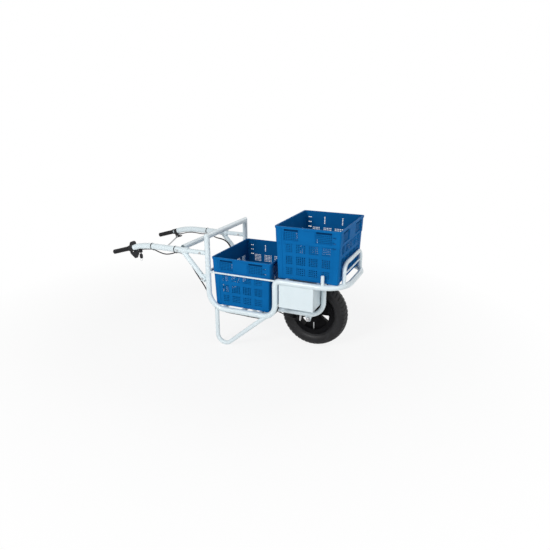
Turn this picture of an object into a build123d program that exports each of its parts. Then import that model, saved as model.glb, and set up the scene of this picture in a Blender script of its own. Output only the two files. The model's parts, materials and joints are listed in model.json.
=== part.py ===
from build123d import *
import os
from math import atan2, cos, pi, radians, sin, sqrt, tan

# A powered one-wheel barrow: a stepped frame of bent tube, an electric hub wheel, and two crates.
# Millimetres. X points forward from the axle, Y to the operator's left, Z up from the ground.

# Wheel and tyre
tyre_outside = 400.0
tyre_width = 96.0
tyre_wall = 8.0
tyre_belly_rise = 4.0
tyre_above_flange = 2.0
tyre_shoulder_depth = 10.0
tyre_shoulder_share = 0.84
tread_depth = 5.0
tread_grooves = 34
tread_groove_width = 7.0
tread_groove_slant = 24.0
bead_width = 13.0
rim_width = 68.0
rim_flange_outside = 252.0
bead_seat_outside = 226.0
rim_wall = 5.0
flange_thickness = 5.0
rim_shelf_depth = 9.0
rim_shelf_thickness = 7.0
rim_bolt_count = 9
rim_bolt_outside = 5.0
window_count = 3
web_thickness = 26.0
window_angle = -16.5
window_root_width = 12.0
window_tip_width = 52.0
window_corner = 5.0
hub_outside = 84.0
hub_width = 62.0
hub_wall = 4.5
hub_cover_thickness = 5.0
hub_screw_count = 6
hub_screw_outside = 4.0
bearing_outside = 35.0
bearing_width = 11.0
stator_width = 36.0
stator_slots = 12
magnet_thickness = 3.2
magnet_count = 14
valve_outside = 8.0
valve_length = 62.0
valve_collar_across = 10.4
valve_angle = -88.5

# Axle and its seats
axle_outside = 15.0
axle_nut_across = 22.0
axle_nut_thickness = 10.0
axle_washer_outside = 26.0
axle_washer_thickness = 2.5
axle_thread_past_nut = 6.0
dropout_thickness = 6.0
dropout_width = 46.0
dropout_below_axle = 16.0

# Brake at the wheel
drum_outside = 72.0
drum_width = 16.0
drum_wall = 5.0
band_thickness = 2.0
band_width = 12.0
brake_plate_outside = 88.0
brake_plate_thickness = 3.0
torque_arm_reach = 92.0
torque_arm_width = 24.0
brake_pivot_behind_axle = 66.0
brake_arm_length = 46.0
brake_arm_width = 14.0
brake_arm_thickness = 4.0
brake_pin_outside = 8.0
brake_stop_outwards = 7.0
brake_stop_below_axle = 38.0

# Frame tubes
rail_line_beside_crate = 7.5
rail_outside = 31.8
rail_wall = 2.0
cross_outside = 25.4
cross_wall = 2.0
carrier_outside = 28.0
carrier_wall = 2.3
leg_outside = 25.4
leg_wall = 2.0
hoop_outside = 22.0
hoop_wall = 1.8
peg_outside = 19.0
peg_height = 53.0
guard_rod_outside = 10.0
lower_back_bar_outside = 19.0

# Frame places, from the axle, the crates and the rails
tyre_to_rail_line = 48.0
step_height = 220.0
back_bar_above_rail = 212.0
crate_to_back_post = 22.0
crate_to_front_tube = 27.0
crates_apart = 27.0
step_post_under_crate = 5.0
rear_bend = 100.0
step_lower_bend = 75.0
step_upper_bend = 26.0
front_corner_bend = 145.0
splice_straight = 8.0
lower_crosses_from_crate = (-117.0, 8.0, 118.0)
upper_crosses_from_crate = (-119.0, 126.0)
carrier_spacing = 224.0
carrier_above_axle = 28.5
carrier_post_ahead_of_axle = 88.0
carrier_bend = 85.0
leg_ahead_of_post = 49.0
leg_bend = 50.0
leg_strut_angle = 40.5
hoop_behind_front_tube = 20.0
hoop_above_rail = 122.0
hoop_bend = 45.0
hoop_rod_above_rail = 66.0
peg_from_crate = 95.0

# Handles
handle_above_rail = 112.0
handle_outside = 36.0
handle_wall = 2.0
handle_straight_behind_post = 376.0
handle_bend = 500.0
handle_drop_angle = 16.5
handle_seam_behind_post = 211.0
handle_spigot_length = 45.0
handle_bar_behind_post = 172.0
handle_bar_above_arm = 14.0
sleeve_end_behind_post = 130.0
arm_outside = 27.0
arm_wall = 2.0
strut_outside = 30.0
strut_wall = 2.0
strut_top_behind_post = 172.0
strut_foot_below_rail = 43.0
strut_foot_behind_post = 34.0
lug_thickness = 6.0
stub_length = 62.0
arm_bolt_behind_post = 44.0
seam_bolt_inset = 14.0
frame_bolt_outside = 8.0
grip_bar_outside = 22.2
grip_bar_wall = 2.0
grip_bar_length = 166.0
grip_outside = 28.0
grip_length = 122.0
grip_flange_outside = 34.0
grip_end_thickness = 4.0
grip_rib_count = 9

# Controls on the handles
throttle_outside = 44.0
throttle_width = 22.0
throttle_pod_height = 38.0
throttle_pod_low = 14.0
throttle_pod_width = 28.0
throttle_pod_aside = 4.0
throttle_pod_lap = 14.0
throttle_pod_round = 5.0
throttle_nose_outside = 12.0
throttle_ring_width = 11.0
throttle_ring_outside = 36.0
throttle_paddle_reach = 67.0
throttle_paddle_tip = 14.0
throttle_paddle_tip_along = 12.0
throttle_paddle_ahead = 25.0
throttle_paddle_front = 8.0
throttle_paddle_thickness = 11.0
throttle_paddle_aside = -2.5
lock_ahead_of_bar = 46.0
lock_aside = 4.0
lock_outside = 20.0
lock_length = 17.0
lock_strap_width = 18.0
lock_strap_thickness = 2.5
lock_saddle_share = 0.78
key_plug_outside = 10.0
key_shank_length = 9.0
key_shank_width = 7.0
key_shank_thickness = 2.0
key_head_height = 31.0
key_head_width = 21.0
key_head_thickness = 5.0
key_hole_outside = 5.0
key_ring_outside = 20.0
key_ring_wire = 1.8
brake_clamp_width = 20.0
brake_clamp_outside = 34.0
brake_clamp_from_tube = 4.8
brake_cheek_thickness = 4.5
brake_lever_thickness = 7.0
brake_lever_width = 9.0
brake_pivot_below_bar = 36.0
brake_lever_length = 112.0
brake_lever_splay = 25.0
brake_lever_bow = 12.0
brake_lever_pin_outside = 6.0
brake_nose_length = 16.0
adjuster_outside = 9.0
adjuster_length = 24.0

# Battery box under the right rail
box_to_step_post = 7.0
box_to_carrier_post = 6.0
box_depth = 152.0
box_bottom_above_axle = 98.0
box_wall = 2.0
box_cover_lap = 10.0
box_screw_outside = 4.0
battery_length = 140.0
battery_width = 92.0
battery_height = 104.0
battery_end_space = 26.0
battery_side_space = 4.0
controller_length = 120.0
controller_width = 30.0
controller_height = 84.0
controller_fins = 7
controller_fin_depth = 7.0
controller_space = 6.0

# Crates
crate_length = 370.0
crate_width = 465.0
crate_height = 295.0
crate_wall = 3.0
crate_floor = 4.0
crate_base_shrink = 9.5
crate_corner = 12.0
crate_lip = 6.0
crate_lip_height = 12.0
crate_band = 3.0
crate_band_height = 92.0
crate_foot_height = 9.0
crate_foot_length = 74.0
window_rows = 3
window_columns_side = 4
window_columns_end = 5
window_slots = 4
window_slot_bar = 5.0
window_post = 18.0
window_corner_post = 46.0
window_beam = 18.0
window_floor_beam = 13.0
window_band_beam = 2.0
front_crate_ahead_of_axle = 24.0

# Cables
throttle_cable_outside = 7.0
brake_cable_outside = 6.0
switch_wire_outside = 4.0
motor_cable_outside = 8.0
least_cable_turn = 0.8
tie_width = 5.0
tie_thickness = 1.4
tie_slack = 1.5
brake_tie_behind_post = 288.0
strut_cable_aside = 19.0
box_cable_run = 95.0
switch_wire_from_rail = 89.0

# Clearances
weld_gap = 0.1
rest_gap = 0.3
running_gap = 0.05
slip_gap = 0.2
bolt_gap = 0.2
air_gap = 0.8

# Worked out from the sizes above
axle_height = tyre_outside / 2
upper_rail_height = tyre_outside + tyre_to_rail_line
lower_rail_height = upper_rail_height - step_height
back_bar_height = upper_rail_height + back_bar_above_rail
hoop_height = upper_rail_height + hoop_above_rail
hoop_rod_height = upper_rail_height + hoop_rod_above_rail
handle_height = upper_rail_height + handle_above_rail
strut_foot_height = upper_rail_height - strut_foot_below_rail
box_bottom_height = axle_height + box_bottom_above_axle
frame_width = crate_width + 2 * rail_line_beside_crate
right = -frame_width / 2
rail_radius = rail_outside / 2
front_crate_x = front_crate_ahead_of_axle
rear_crate_x = front_crate_x - crate_length - crates_apart
back_x = rear_crate_x - crate_length / 2 - crate_to_back_post
step_x = front_crate_x - crate_length / 2 + step_post_under_crate
front_x = front_crate_x + crate_length / 2 + crate_to_front_tube
peg_x = front_crate_x + peg_from_crate
leg_x = back_x + leg_ahead_of_post
lower_crosses = [rear_crate_x + place for place in lower_crosses_from_crate]
upper_crosses = [front_crate_x + place for place in upper_crosses_from_crate]
carrier_y = -carrier_spacing / 2
carrier_height = axle_height + carrier_above_axle
carrier_x = carrier_post_ahead_of_axle
upper_deck = upper_rail_height + rail_radius
lower_deck = lower_rail_height + rail_radius
upper_cross_height = upper_deck - cross_outside / 2
lower_cross_height = lower_deck - cross_outside / 2
hoop_x = front_x - hoop_behind_front_tube
stator_outside = hub_outside - 2 * (hub_wall + magnet_thickness + air_gap + weld_gap)
handle_radius = handle_outside / 2
drop = radians(handle_drop_angle)
straight_x = back_x - handle_straight_behind_post
handle_bar_x = back_x - handle_bar_behind_post
strut_top_x = back_x - strut_top_behind_post
bar_x = straight_x - handle_bend * sin(drop)
bar_z = handle_height - handle_bend * (1 - cos(drop))
lock_x = bar_x + lock_ahead_of_bar
rear_reach = bar_x - (grip_bar_length + grip_end_thickness) * cos(drop) - grip_outside / 2 * sin(drop)
front_reach = front_x + rail_radius
middle_x = (rear_reach + front_reach) / 2

os.makedirs("parts", exist_ok=True)
nodes = {}


def rail_side(x):
    # How far the line of an upper rail lies from the middle, along its straight and its front bend.
    past = max(0, x - front_x + front_corner_bend)
    return frame_width / 2 - front_corner_bend + sqrt(front_corner_bend**2 - past**2)


def keep(name, *shapes):
    placed = [Pos(-middle_x, 0, 0) * shape for shape in shapes]
    solids = [solid for shape in placed for solid in shape.solids()]
    nodes[name] = solids[0] if len(solids) == 1 else Compound(solids)


def keep_pair(name, shape):
    keep(name + "_right", shape)
    keep(name + "_left", mirror(shape, about=Plane.XZ))


def both(shape):
    return [shape, mirror(shape, about=Plane.XZ)]


def solid_bar(points, radii, outside):
    path = FilletPolyline(*points, radius=radii) if len(points) > 2 else Line(*points)
    start = Plane(origin=path @ 0, z_dir=path % 0)
    return sweep(start * Circle(outside / 2), path=path)


def pipe(points, radii, outside, wall):
    path = FilletPolyline(*points, radius=radii) if len(points) > 2 else Line(*points)
    start = Plane(origin=path @ 0, z_dir=path % 0)
    return sweep(start * (Circle(outside / 2) - Circle(outside / 2 - wall)), path=path)


def weld_bar(points, radii, outside):
    return solid_bar(points, radii, outside + 2 * weld_gap)


def across(x, z, y_from, y_to, outside):
    start = Plane(origin=(x, y_from, z), z_dir=(0, y_to - y_from, 0))
    return extrude(start * Circle(outside / 2), amount=abs(y_to - y_from))


def plate(points, corner, y_from, y_to):
    outline = FilletPolyline(*[(x, 0, z) for x, z in points], radius=corner, close=True)
    flat = make_face(outline)
    return Pos(0, min(y_from, y_to), 0) * extrude(flat, amount=abs(y_to - y_from), dir=(0, 1, 0))


def block(x, y, z):
    size = (x[1] - x[0], y[1] - y[0], z[1] - z[0])
    return Pos((x[0] + x[1]) / 2, (y[0] + y[1]) / 2, (z[0] + z[1]) / 2) * Box(*size)


def hexagon(across_flats):
    return RegularPolygon(across_flats / 2, 6, major_radius=False)


def turned(points):
    return revolve(make_face(Polyline(*points, close=True)), Axis.Y)


def bolt_across(x, z, y_head, y_nut, outside):
    way = 1 if y_nut > y_head else -1
    head = Plane(origin=(x, y_head, z), z_dir=(0, -way, 0)) * hexagon(1.6 * outside)
    nut = Plane(origin=(x, y_nut, z), z_dir=(0, way, 0))
    shank = across(x, z, y_head, y_nut + way * outside, outside)
    bolt = extrude(head, amount=0.65 * outside) + shank
    ring = nut * (hexagon(1.6 * outside) - Circle(outside / 2 + weld_gap))
    return [bolt, extrude(ring, amount=0.8 * outside)]


# Paths of the main frame tubes, right side
splice_x = step_x - step_lower_bend - splice_straight
corner_y = right + front_corner_bend + splice_straight
rear_frame_points = [
    (back_x, right, back_bar_height + rail_outside),
    (back_x, right, lower_rail_height),
    (splice_x, right, lower_rail_height),
]
upper_rail_points = [
    (splice_x, right, lower_rail_height),
    (step_x, right, lower_rail_height),
    (step_x, right, upper_rail_height),
    (front_x, right, upper_rail_height),
    (front_x, corner_y, upper_rail_height),
]
upper_rail_bends = [step_lower_bend, step_upper_bend, front_corner_bend]
rear_frame_bars = both(weld_bar(rear_frame_points, rear_bend, rail_outside))
upper_rail_bars = both(weld_bar(upper_rail_points, upper_rail_bends, rail_outside))


def cut_by(shape, cutters):
    for cutter in cutters:
        shape = shape - cutter
    return shape


def frame_tubes():
    mitre = Plane(origin=(back_x, right, back_bar_height), z_dir=(0, 1, 1))
    post = pipe(rear_frame_points, rear_bend, rail_outside, rail_wall)
    keep_pair("rear_frame", split(post, bisect_by=mitre, keep=Keep.BOTTOM))
    reach = frame_width / 2 + rail_outside
    ends = [(back_x, -reach, back_bar_height), (back_x, reach, back_bar_height)]
    bar = pipe(ends, 0, rail_outside, rail_wall)
    bar = split(bar, bisect_by=mitre, keep=Keep.TOP)
    far_mitre = Plane(origin=(back_x, -right, back_bar_height), z_dir=(0, -1, 1))
    bar = split(bar, bisect_by=far_mitre, keep=Keep.TOP)
    lower_bar = across(back_x, upper_rail_height, right, -right, lower_back_bar_outside)
    keep("back_cross_bars", bar, cut_by(lower_bar, rear_frame_bars))
    keep_pair("upper_rail", pipe(upper_rail_points, upper_rail_bends, rail_outside, rail_wall))
    front = [(front_x, corner_y, upper_rail_height), (front_x, -corner_y, upper_rail_height)]
    keep("front_cross_tube", pipe(front, 0, rail_outside, rail_wall))


def cross_tube(x, height):
    ends = [(x, -rail_side(x), height), (x, rail_side(x), height)]
    return cut_by(pipe(ends, 0, cross_outside, cross_wall), rear_frame_bars + upper_rail_bars)


def cross_bar(x, height):
    return weld_bar([(x, right, height), (x, -right, height)], 0, cross_outside)


def deck():
    lower = [cross_tube(x, lower_cross_height) for x in lower_crosses]
    upper = [cross_tube(x, upper_cross_height) for x in upper_crosses + [carrier_x]]
    keep("deck_cross_tubes", *lower, *upper)


carrier_root_x = lower_crosses[-1]
carrier_points = [
    (carrier_root_x, carrier_y, carrier_height),
    (carrier_x, carrier_y, carrier_height),
    (carrier_x, carrier_y, upper_cross_height),
]
carrier_bar = weld_bar(carrier_points, carrier_bend, carrier_outside)


def wheel_carriers():
    tube = pipe(carrier_points, carrier_bend, carrier_outside, carrier_wall)
    tube = tube - cross_bar(carrier_root_x, lower_cross_height)
    tube = tube - cross_bar(carrier_x, upper_cross_height)
    tube = max(tube.solids(), key=lambda piece: piece.volume)
    keep_pair("wheel_carrier", tube)
    half = dropout_width / 2
    foot = axle_height - dropout_below_axle
    outline = [(-half, carrier_height), (half, carrier_height), (half * 0.5, foot), (-half * 0.5, foot)]
    dropout = plate(outline, 6, carrier_y - dropout_thickness / 2, carrier_y + dropout_thickness / 2)
    bore = across(0, axle_height, carrier_y - dropout_thickness, carrier_y + dropout_thickness,
                  axle_outside + 2 * weld_gap)
    keep("dropout_plates", *both(dropout - carrier_bar - bore))


def legs():
    centre_x = leg_x + leg_bend
    centre_z = leg_bend + leg_outside / 2
    angle = radians(leg_strut_angle)
    corner_drop = leg_bend * tan((radians(90) + angle) / 2)
    corner_z = centre_z - corner_drop
    rise = lower_rail_height - corner_z
    points = [
        (centre_x - leg_bend, right, lower_rail_height),
        (centre_x - leg_bend, right, corner_z),
        (centre_x - leg_bend + rise / tan(angle), right, lower_rail_height),
    ]
    leg = pipe(points, leg_bend, leg_outside, leg_wall)
    leg = cut_by(leg, [rear_frame_bars[0], upper_rail_bars[0]])
    above = block((back_x, 0), (right - rail_outside, right + rail_outside),
                  (lower_rail_height, lower_rail_height + rail_outside))
    leg = leg - above
    keep_pair("leg_stand", max(leg.solids(), key=lambda piece: piece.volume))


def guards():
    rod_end = step_x + step_upper_bend
    ends = [(back_x, right, upper_rail_height), (rod_end, right, upper_rail_height)]
    rod = solid_bar(ends, 0, guard_rod_outside)
    rod = cut_by(rod, [rear_frame_bars[0], upper_rail_bars[0]])
    keep("side_rods", *both(max(rod.solids(), key=lambda piece: piece.volume)))
    hoop_y = rail_side(hoop_x)
    hoop_points = [
        (hoop_x, -hoop_y, upper_rail_height),
        (hoop_x, -hoop_y, hoop_height),
        (hoop_x, hoop_y, hoop_height),
        (hoop_x, hoop_y, upper_rail_height),
    ]
    hoop = cut_by(pipe(hoop_points, hoop_bend, hoop_outside, hoop_wall), upper_rail_bars)
    hoop = max(hoop.solids(), key=lambda piece: piece.volume)
    rod_ends = [(hoop_x, -hoop_y, hoop_rod_height), (hoop_x, hoop_y, hoop_rod_height)]
    low_rod = solid_bar(rod_ends, 0, guard_rod_outside) - weld_bar(hoop_points, hoop_bend, hoop_outside)
    keep("front_hoop", hoop, low_rod)
    peg_top = upper_rail_height + rail_radius + peg_height
    peg = solid_bar([(peg_x, right, upper_rail_height), (peg_x, right, peg_top)], 0, peg_outside)
    peg = fillet(peg.faces().sort_by(Axis.Z)[-1].edges(), peg_outside * 0.25)
    keep("crate_pegs", *both(peg - upper_rail_bars[0]))


# Handle brackets, tubes and grips
stub_outside = arm_outside - 2 * arm_wall - 2 * slip_gap
seam_x = back_x - handle_seam_behind_post
sleeve_end_x = back_x - sleeve_end_behind_post
arm_bolt_x = back_x - arm_bolt_behind_post
seam_bolt_x = seam_x + seam_bolt_inset
foot_x = back_x - strut_foot_behind_post
arm_front_x = back_x - rail_radius - rest_gap


def bolt_hole(x, z):
    reach = handle_outside
    return across(x, z, right - reach, right + reach, frame_bolt_outside + 2 * bolt_gap)


def handle_brackets():
    sleeve_ends = [(seam_x, right, handle_height), (sleeve_end_x, right, handle_height)]
    arm_ends = [(sleeve_end_x - arm_outside, right, handle_height), (arm_front_x, right, handle_height)]
    collar_place = Plane(origin=sleeve_ends[1], z_dir=(-1, 0, 0))
    collar = collar_place * (Circle(handle_radius) - Circle(arm_outside / 2 - arm_wall))
    arm = pipe(sleeve_ends, 0, handle_outside, handle_wall) + extrude(collar, amount=2 * handle_wall)
    arm = arm + pipe(arm_ends, 0, arm_outside, arm_wall)
    arm = arm - bolt_hole(arm_bolt_x, handle_height) - bolt_hole(seam_bolt_x, handle_height)
    arm = arm - rear_frame_bars[0]
    stub_ends = [(back_x, right, handle_height), (back_x - stub_length, right, handle_height)]
    stub = pipe(stub_ends, 0, stub_outside, handle_wall) - bolt_hole(arm_bolt_x, handle_height)
    stub = stub - rear_frame_bars[0]
    stub = max(stub.solids(), key=lambda piece: piece.volume)
    top = (strut_top_x, right, handle_height)
    foot = (foot_x, right, strut_foot_height)
    run = Vector(*foot) - Vector(*top)
    past = run.normalized() * strut_outside * 0.55
    strut = pipe([top, tuple(Vector(*foot) + past)], 0, strut_outside, strut_wall)
    strut = strut - weld_bar(sleeve_ends, 0, handle_outside) - bolt_hole(foot_x, strut_foot_height)
    slot = lug_thickness / 2 + slip_gap
    strut = strut - block((foot_x - strut_outside, back_x), (right - slot, right + slot),
                          (strut_foot_height - 2 * strut_outside, strut_foot_height + strut_outside))
    strut = strut - rear_frame_bars[0]
    reach = strut_outside * 0.62
    lug_points = [(back_x, strut_foot_height - 1.7 * reach), (foot_x - reach, strut_foot_height - reach),
                  (foot_x - reach, strut_foot_height + reach), (back_x, strut_foot_height + 1.7 * reach)]
    lug = plate(lug_points, 5, right - lug_thickness / 2, right + lug_thickness / 2)
    lug = lug - rear_frame_bars[0] - bolt_hole(foot_x, strut_foot_height)
    lug = max(lug.solids(), key=lambda piece: piece.volume)
    pieces = [arm, *strut.solids()]
    keep("handle_bracket_right", *pieces)
    keep("handle_bracket_left", *[mirror(piece, about=Plane.XZ) for piece in pieces])
    keep("post_lugs", *both(stub), *both(lug))
    cross_half = frame_width / 2 - handle_radius / 2
    cross_height = handle_height + handle_bar_above_arm
    cross_ends = [(handle_bar_x, -cross_half, cross_height), (handle_bar_x, cross_half, cross_height)]
    cross = pipe(cross_ends, 0, rail_outside, rail_wall)
    cutters = both(weld_bar(sleeve_ends, 0, handle_outside)) + both(weld_bar([top, foot], 0, strut_outside))
    cross = cut_by(cross, cutters)
    keep("handle_cross_bar", max(cross.solids(), key=lambda piece: piece.volume))
    bolts = []
    places = [(arm_bolt_x, handle_height, arm_outside), (seam_bolt_x, handle_height, handle_outside),
              (foot_x, strut_foot_height, strut_outside)]
    for x, z, outside in places:
        for piece in bolt_across(x, z, right - outside / 2, right + outside / 2, frame_bolt_outside):
            bolts += both(piece)
    keep("handle_bolts", *bolts)


def bar_plane(side, along):
    # Local x is up, y is +Y and z runs rearwards along the sloping grip bar.
    origin = (bar_x - along * cos(drop), side, bar_z - along * sin(drop))
    return Plane(origin=origin, x_dir=(-sin(drop), 0, cos(drop)), z_dir=(-cos(drop), 0, -sin(drop)))


def handle_tubes():
    corner = handle_bend * tan(drop / 2)
    corner_x = straight_x - corner
    points = [
        (seam_x - rest_gap, right, handle_height),
        (corner_x, right, handle_height),
        (bar_x - splice_straight * cos(drop), right, bar_z - splice_straight * sin(drop)),
    ]
    tube = pipe(points, handle_bend, handle_outside, handle_wall)
    end = bar_plane(right, splice_straight)
    tube = tube + extrude(end * Circle(handle_radius - handle_wall / 2), amount=-handle_wall)
    bar_ring = end * (Circle(grip_bar_outside / 2) - Circle(grip_bar_outside / 2 - grip_bar_wall))
    tube = tube + extrude(bar_ring, amount=grip_bar_length - splice_straight)
    spigot_ends = [(seam_x - handle_spigot_length, right, handle_height),
                   (seam_x + handle_spigot_length, right, handle_height)]
    spigot = pipe(spigot_ends, 0, handle_outside - 2 * handle_wall, handle_wall)
    relief = pipe([(seam_x, right, handle_height), (seam_x + 2 * handle_spigot_length, right, handle_height)],
                  0, handle_outside, handle_wall + slip_gap)
    tube = tube + spigot - relief - bolt_hole(seam_bolt_x, handle_height)
    keep_pair("handle_tube", tube)


def grips():
    start = grip_bar_length - grip_length
    bore = grip_bar_outside / 2 + weld_gap
    body = bar_plane(right, start) * (Circle(grip_outside / 2) - Circle(bore))
    grip = extrude(body, amount=grip_length)
    cap = bar_plane(right, grip_bar_length) * Circle(grip_outside / 2)
    grip = grip + extrude(cap, amount=grip_end_thickness)
    flange = bar_plane(right, start) * (Circle(grip_flange_outside / 2) - Circle(bore))
    grip = grip + extrude(flange, amount=grip_end_thickness)
    pitch = (grip_length - 3 * grip_end_thickness) / grip_rib_count
    for rib in range(grip_rib_count):
        place = bar_plane(right, start + 2 * grip_end_thickness + rib * pitch)
        ring = place * (Circle(grip_outside / 2 + rest_gap) - Circle(grip_outside / 2 - 1.2))
        grip = grip - extrude(ring, amount=pitch * 0.35)
    keep_pair("grip", grip)


def side_plate(outline, corner, along, y_from, thickness):
    # A plate beside the grip bar; its outline is given as heights above the bar and places behind its start.
    place = bar_plane(y_from, along)
    face = Plane(origin=place.origin, x_dir=place.x_dir, z_dir=(0, 1, 0))
    points = [(height, -rearwards) for height, rearwards in outline]
    flat = make_face(FilletPolyline(*points, radius=corner, close=True))
    return extrude(face * flat, amount=thickness)


# Throttle, ignition lock and key on the right handle
throttle_start = splice_straight + rest_gap
throttle_cable_turn = radians(25.5)
throttle_cable_reach = handle_radius + lock_strap_thickness + throttle_cable_outside / 2 + 1
throttle_cable_drop = throttle_cable_reach * cos(throttle_cable_turn)
throttle_cable_aside = throttle_cable_reach * sin(throttle_cable_turn)


def throttle():
    bore = grip_bar_outside / 2 + weld_gap
    clamp = bar_plane(right, throttle_start) * (Circle(throttle_outside / 2) - Circle(bore))
    housing = extrude(clamp, amount=throttle_width)
    top = throttle_pod_height
    pod_low = throttle_pod_low
    lap = throttle_pod_lap
    outline = [(pod_low, -lap), (top * 0.8, -lap), (top, -lap * 0.4), (top, throttle_width * 0.45),
               (top * 0.62, throttle_width), (pod_low, throttle_width)]
    pod_y = right + throttle_pod_aside - throttle_pod_width / 2
    pod = side_plate(outline, throttle_pod_round, throttle_start, pod_y, throttle_pod_width)
    pod_edges = pod.faces().sort_by(Axis.Y)[0].edges() + pod.faces().sort_by(Axis.Y)[-1].edges()
    pod = fillet(pod_edges, throttle_pod_round * 0.8)
    tube_hole = bar_plane(right, -handle_outside) * Circle(handle_radius + rest_gap)
    pod = pod - extrude(tube_hole, amount=handle_outside + throttle_start)
    pod = pod - extrude(bar_plane(right, 0) * Circle(bore), amount=3 * throttle_width)
    nose_place = bar_plane(right + throttle_cable_aside, throttle_start)
    nose = nose_place * (Pos(-throttle_cable_drop, 0) * Circle(throttle_nose_outside / 2))
    entry = nose_place * (Pos(-throttle_cable_drop, 0) * Circle(throttle_cable_outside / 2 + weld_gap))
    housing = housing + pod + extrude(nose, amount=throttle_width * 0.7)
    housing = housing - extrude(bar_plane(right, 0) * Circle(bore), amount=3 * throttle_width)
    keep("throttle_housing", housing - extrude(entry, amount=throttle_width * 0.5))
    ring_start = throttle_start + throttle_width + rest_gap
    ring_bore = grip_bar_outside / 2 + running_gap
    ring = bar_plane(right, ring_start) * (Circle(throttle_ring_outside / 2) - Circle(ring_bore))
    lever = extrude(ring, amount=throttle_ring_width)
    root = throttle_ring_outside / 2 - 3
    under = (throttle_outside + throttle_cable_outside) / 2
    front = -throttle_paddle_ahead - ring_start
    tip = throttle_paddle_tip_along - ring_start
    half = throttle_paddle_tip / 2
    outline = [(-root, throttle_ring_width), (-under - throttle_paddle_front, throttle_ring_width + rest_gap),
               (-throttle_paddle_reach, tip + half), (-throttle_paddle_reach, tip - half),
               (-under - throttle_paddle_front, front), (-under, front), (-under, 0), (-root, 0)]
    paddle_y = right + throttle_paddle_aside - throttle_paddle_thickness / 2
    paddle = side_plate(outline, 2.5, ring_start, paddle_y, throttle_paddle_thickness)
    bore_cut = extrude(bar_plane(right, ring_start - 1) * Circle(ring_bore), amount=throttle_ring_width + 2)
    keep("throttle_lever", lever + (paddle - bore_cut))


def ignition():
    lock_y = right - lock_aside
    bend_run = straight_x - lock_x
    tube_z = handle_height - (handle_bend - sqrt(handle_bend**2 - bend_run**2))
    tilt = atan2(bend_run, sqrt(handle_bend**2 - bend_run**2))
    strap_radius = handle_radius + rest_gap
    place = Plane(origin=(lock_x, right, tube_z), x_dir=(0, 1, 0), z_dir=(-cos(tilt), 0, -sin(tilt)))
    ring = place * (Circle(strap_radius + lock_strap_thickness) - Circle(strap_radius))
    under_tube = block((lock_x - lock_strap_width, lock_x + lock_strap_width),
                       (right - handle_outside, right + handle_outside),
                       (tube_z - handle_outside, tube_z - strap_radius * lock_saddle_share))
    saddle = extrude(ring, amount=lock_strap_width / 2, both=True) & under_tube
    lock_top = tube_z - handle_radius - lock_strap_thickness
    lock_low = lock_top - lock_length
    foot = (Align.CENTER, Align.CENTER, Align.MIN)
    lock_foot = Pos(lock_x, lock_y, lock_low)
    barrel = lock_foot * Cylinder(lock_outside / 2, lock_length + lock_strap_thickness, align=foot)
    plug_height = lock_length * 0.7
    plug_hole = lock_foot * Pos(0, 0, -1) * Cylinder(
        key_plug_outside / 2 + running_gap, plug_height + 1 + rest_gap, align=foot)
    tube_cut = extrude(place * Circle(strap_radius), amount=lock_strap_width * 2, both=True)
    keep("ignition_lock", saddle + (barrel - tube_cut) - plug_hole)
    plug = lock_foot * Cylinder(key_plug_outside / 2, plug_height, align=foot)
    shank = lock_foot * Pos(0, 0, -key_shank_length) * Box(
        key_shank_width, key_shank_thickness, key_shank_length + weld_gap, align=foot)
    head_top = lock_low - key_shank_length
    hole_z = head_top - key_head_height + key_hole_outside
    outline = RectangleRounded(key_head_width, key_head_height, key_head_width * 0.42)
    hole = Pos(0, hole_z - head_top + key_head_height / 2) * Circle(key_hole_outside / 2)
    head_middle = (lock_x, lock_y, head_top - key_head_height / 2)
    head_plane = Plane(origin=head_middle, x_dir=(1, 0, 0), z_dir=(0, -1, 0))
    head = extrude(head_plane * (outline - hole), amount=key_head_thickness / 2, both=True)
    keep("ignition_key", plug + shank + head)
    ring_radius = (key_ring_outside - key_ring_wire) / 2
    fall_in_hole = ring_radius - sqrt(ring_radius**2 - key_head_thickness**2 / 4)
    swing_z = hole_z - (key_hole_outside - key_ring_wire) / 2 + fall_in_hole + running_gap
    key_ring = Rot(0, 90, 0) * Torus(ring_radius, key_ring_wire / 2)
    keep("key_ring", Pos(lock_x, lock_y, swing_z - ring_radius) * key_ring)
    print("key turns about x", lock_x - middle_x, "y", lock_y, "ring swings at z", swing_z)


# Brake lever on the left handle
brake_clamp_middle = brake_clamp_from_tube + splice_straight + brake_clamp_width / 2
brake_body_half = brake_clamp_width / 2 + 4
adjuster_drop = brake_pivot_below_bar - brake_lever_width
adjuster_start = brake_clamp_middle - brake_body_half
adjuster_exit = bar_plane(-right, adjuster_start - adjuster_length).from_local_coords((-adjuster_drop, 0, 0))


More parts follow.
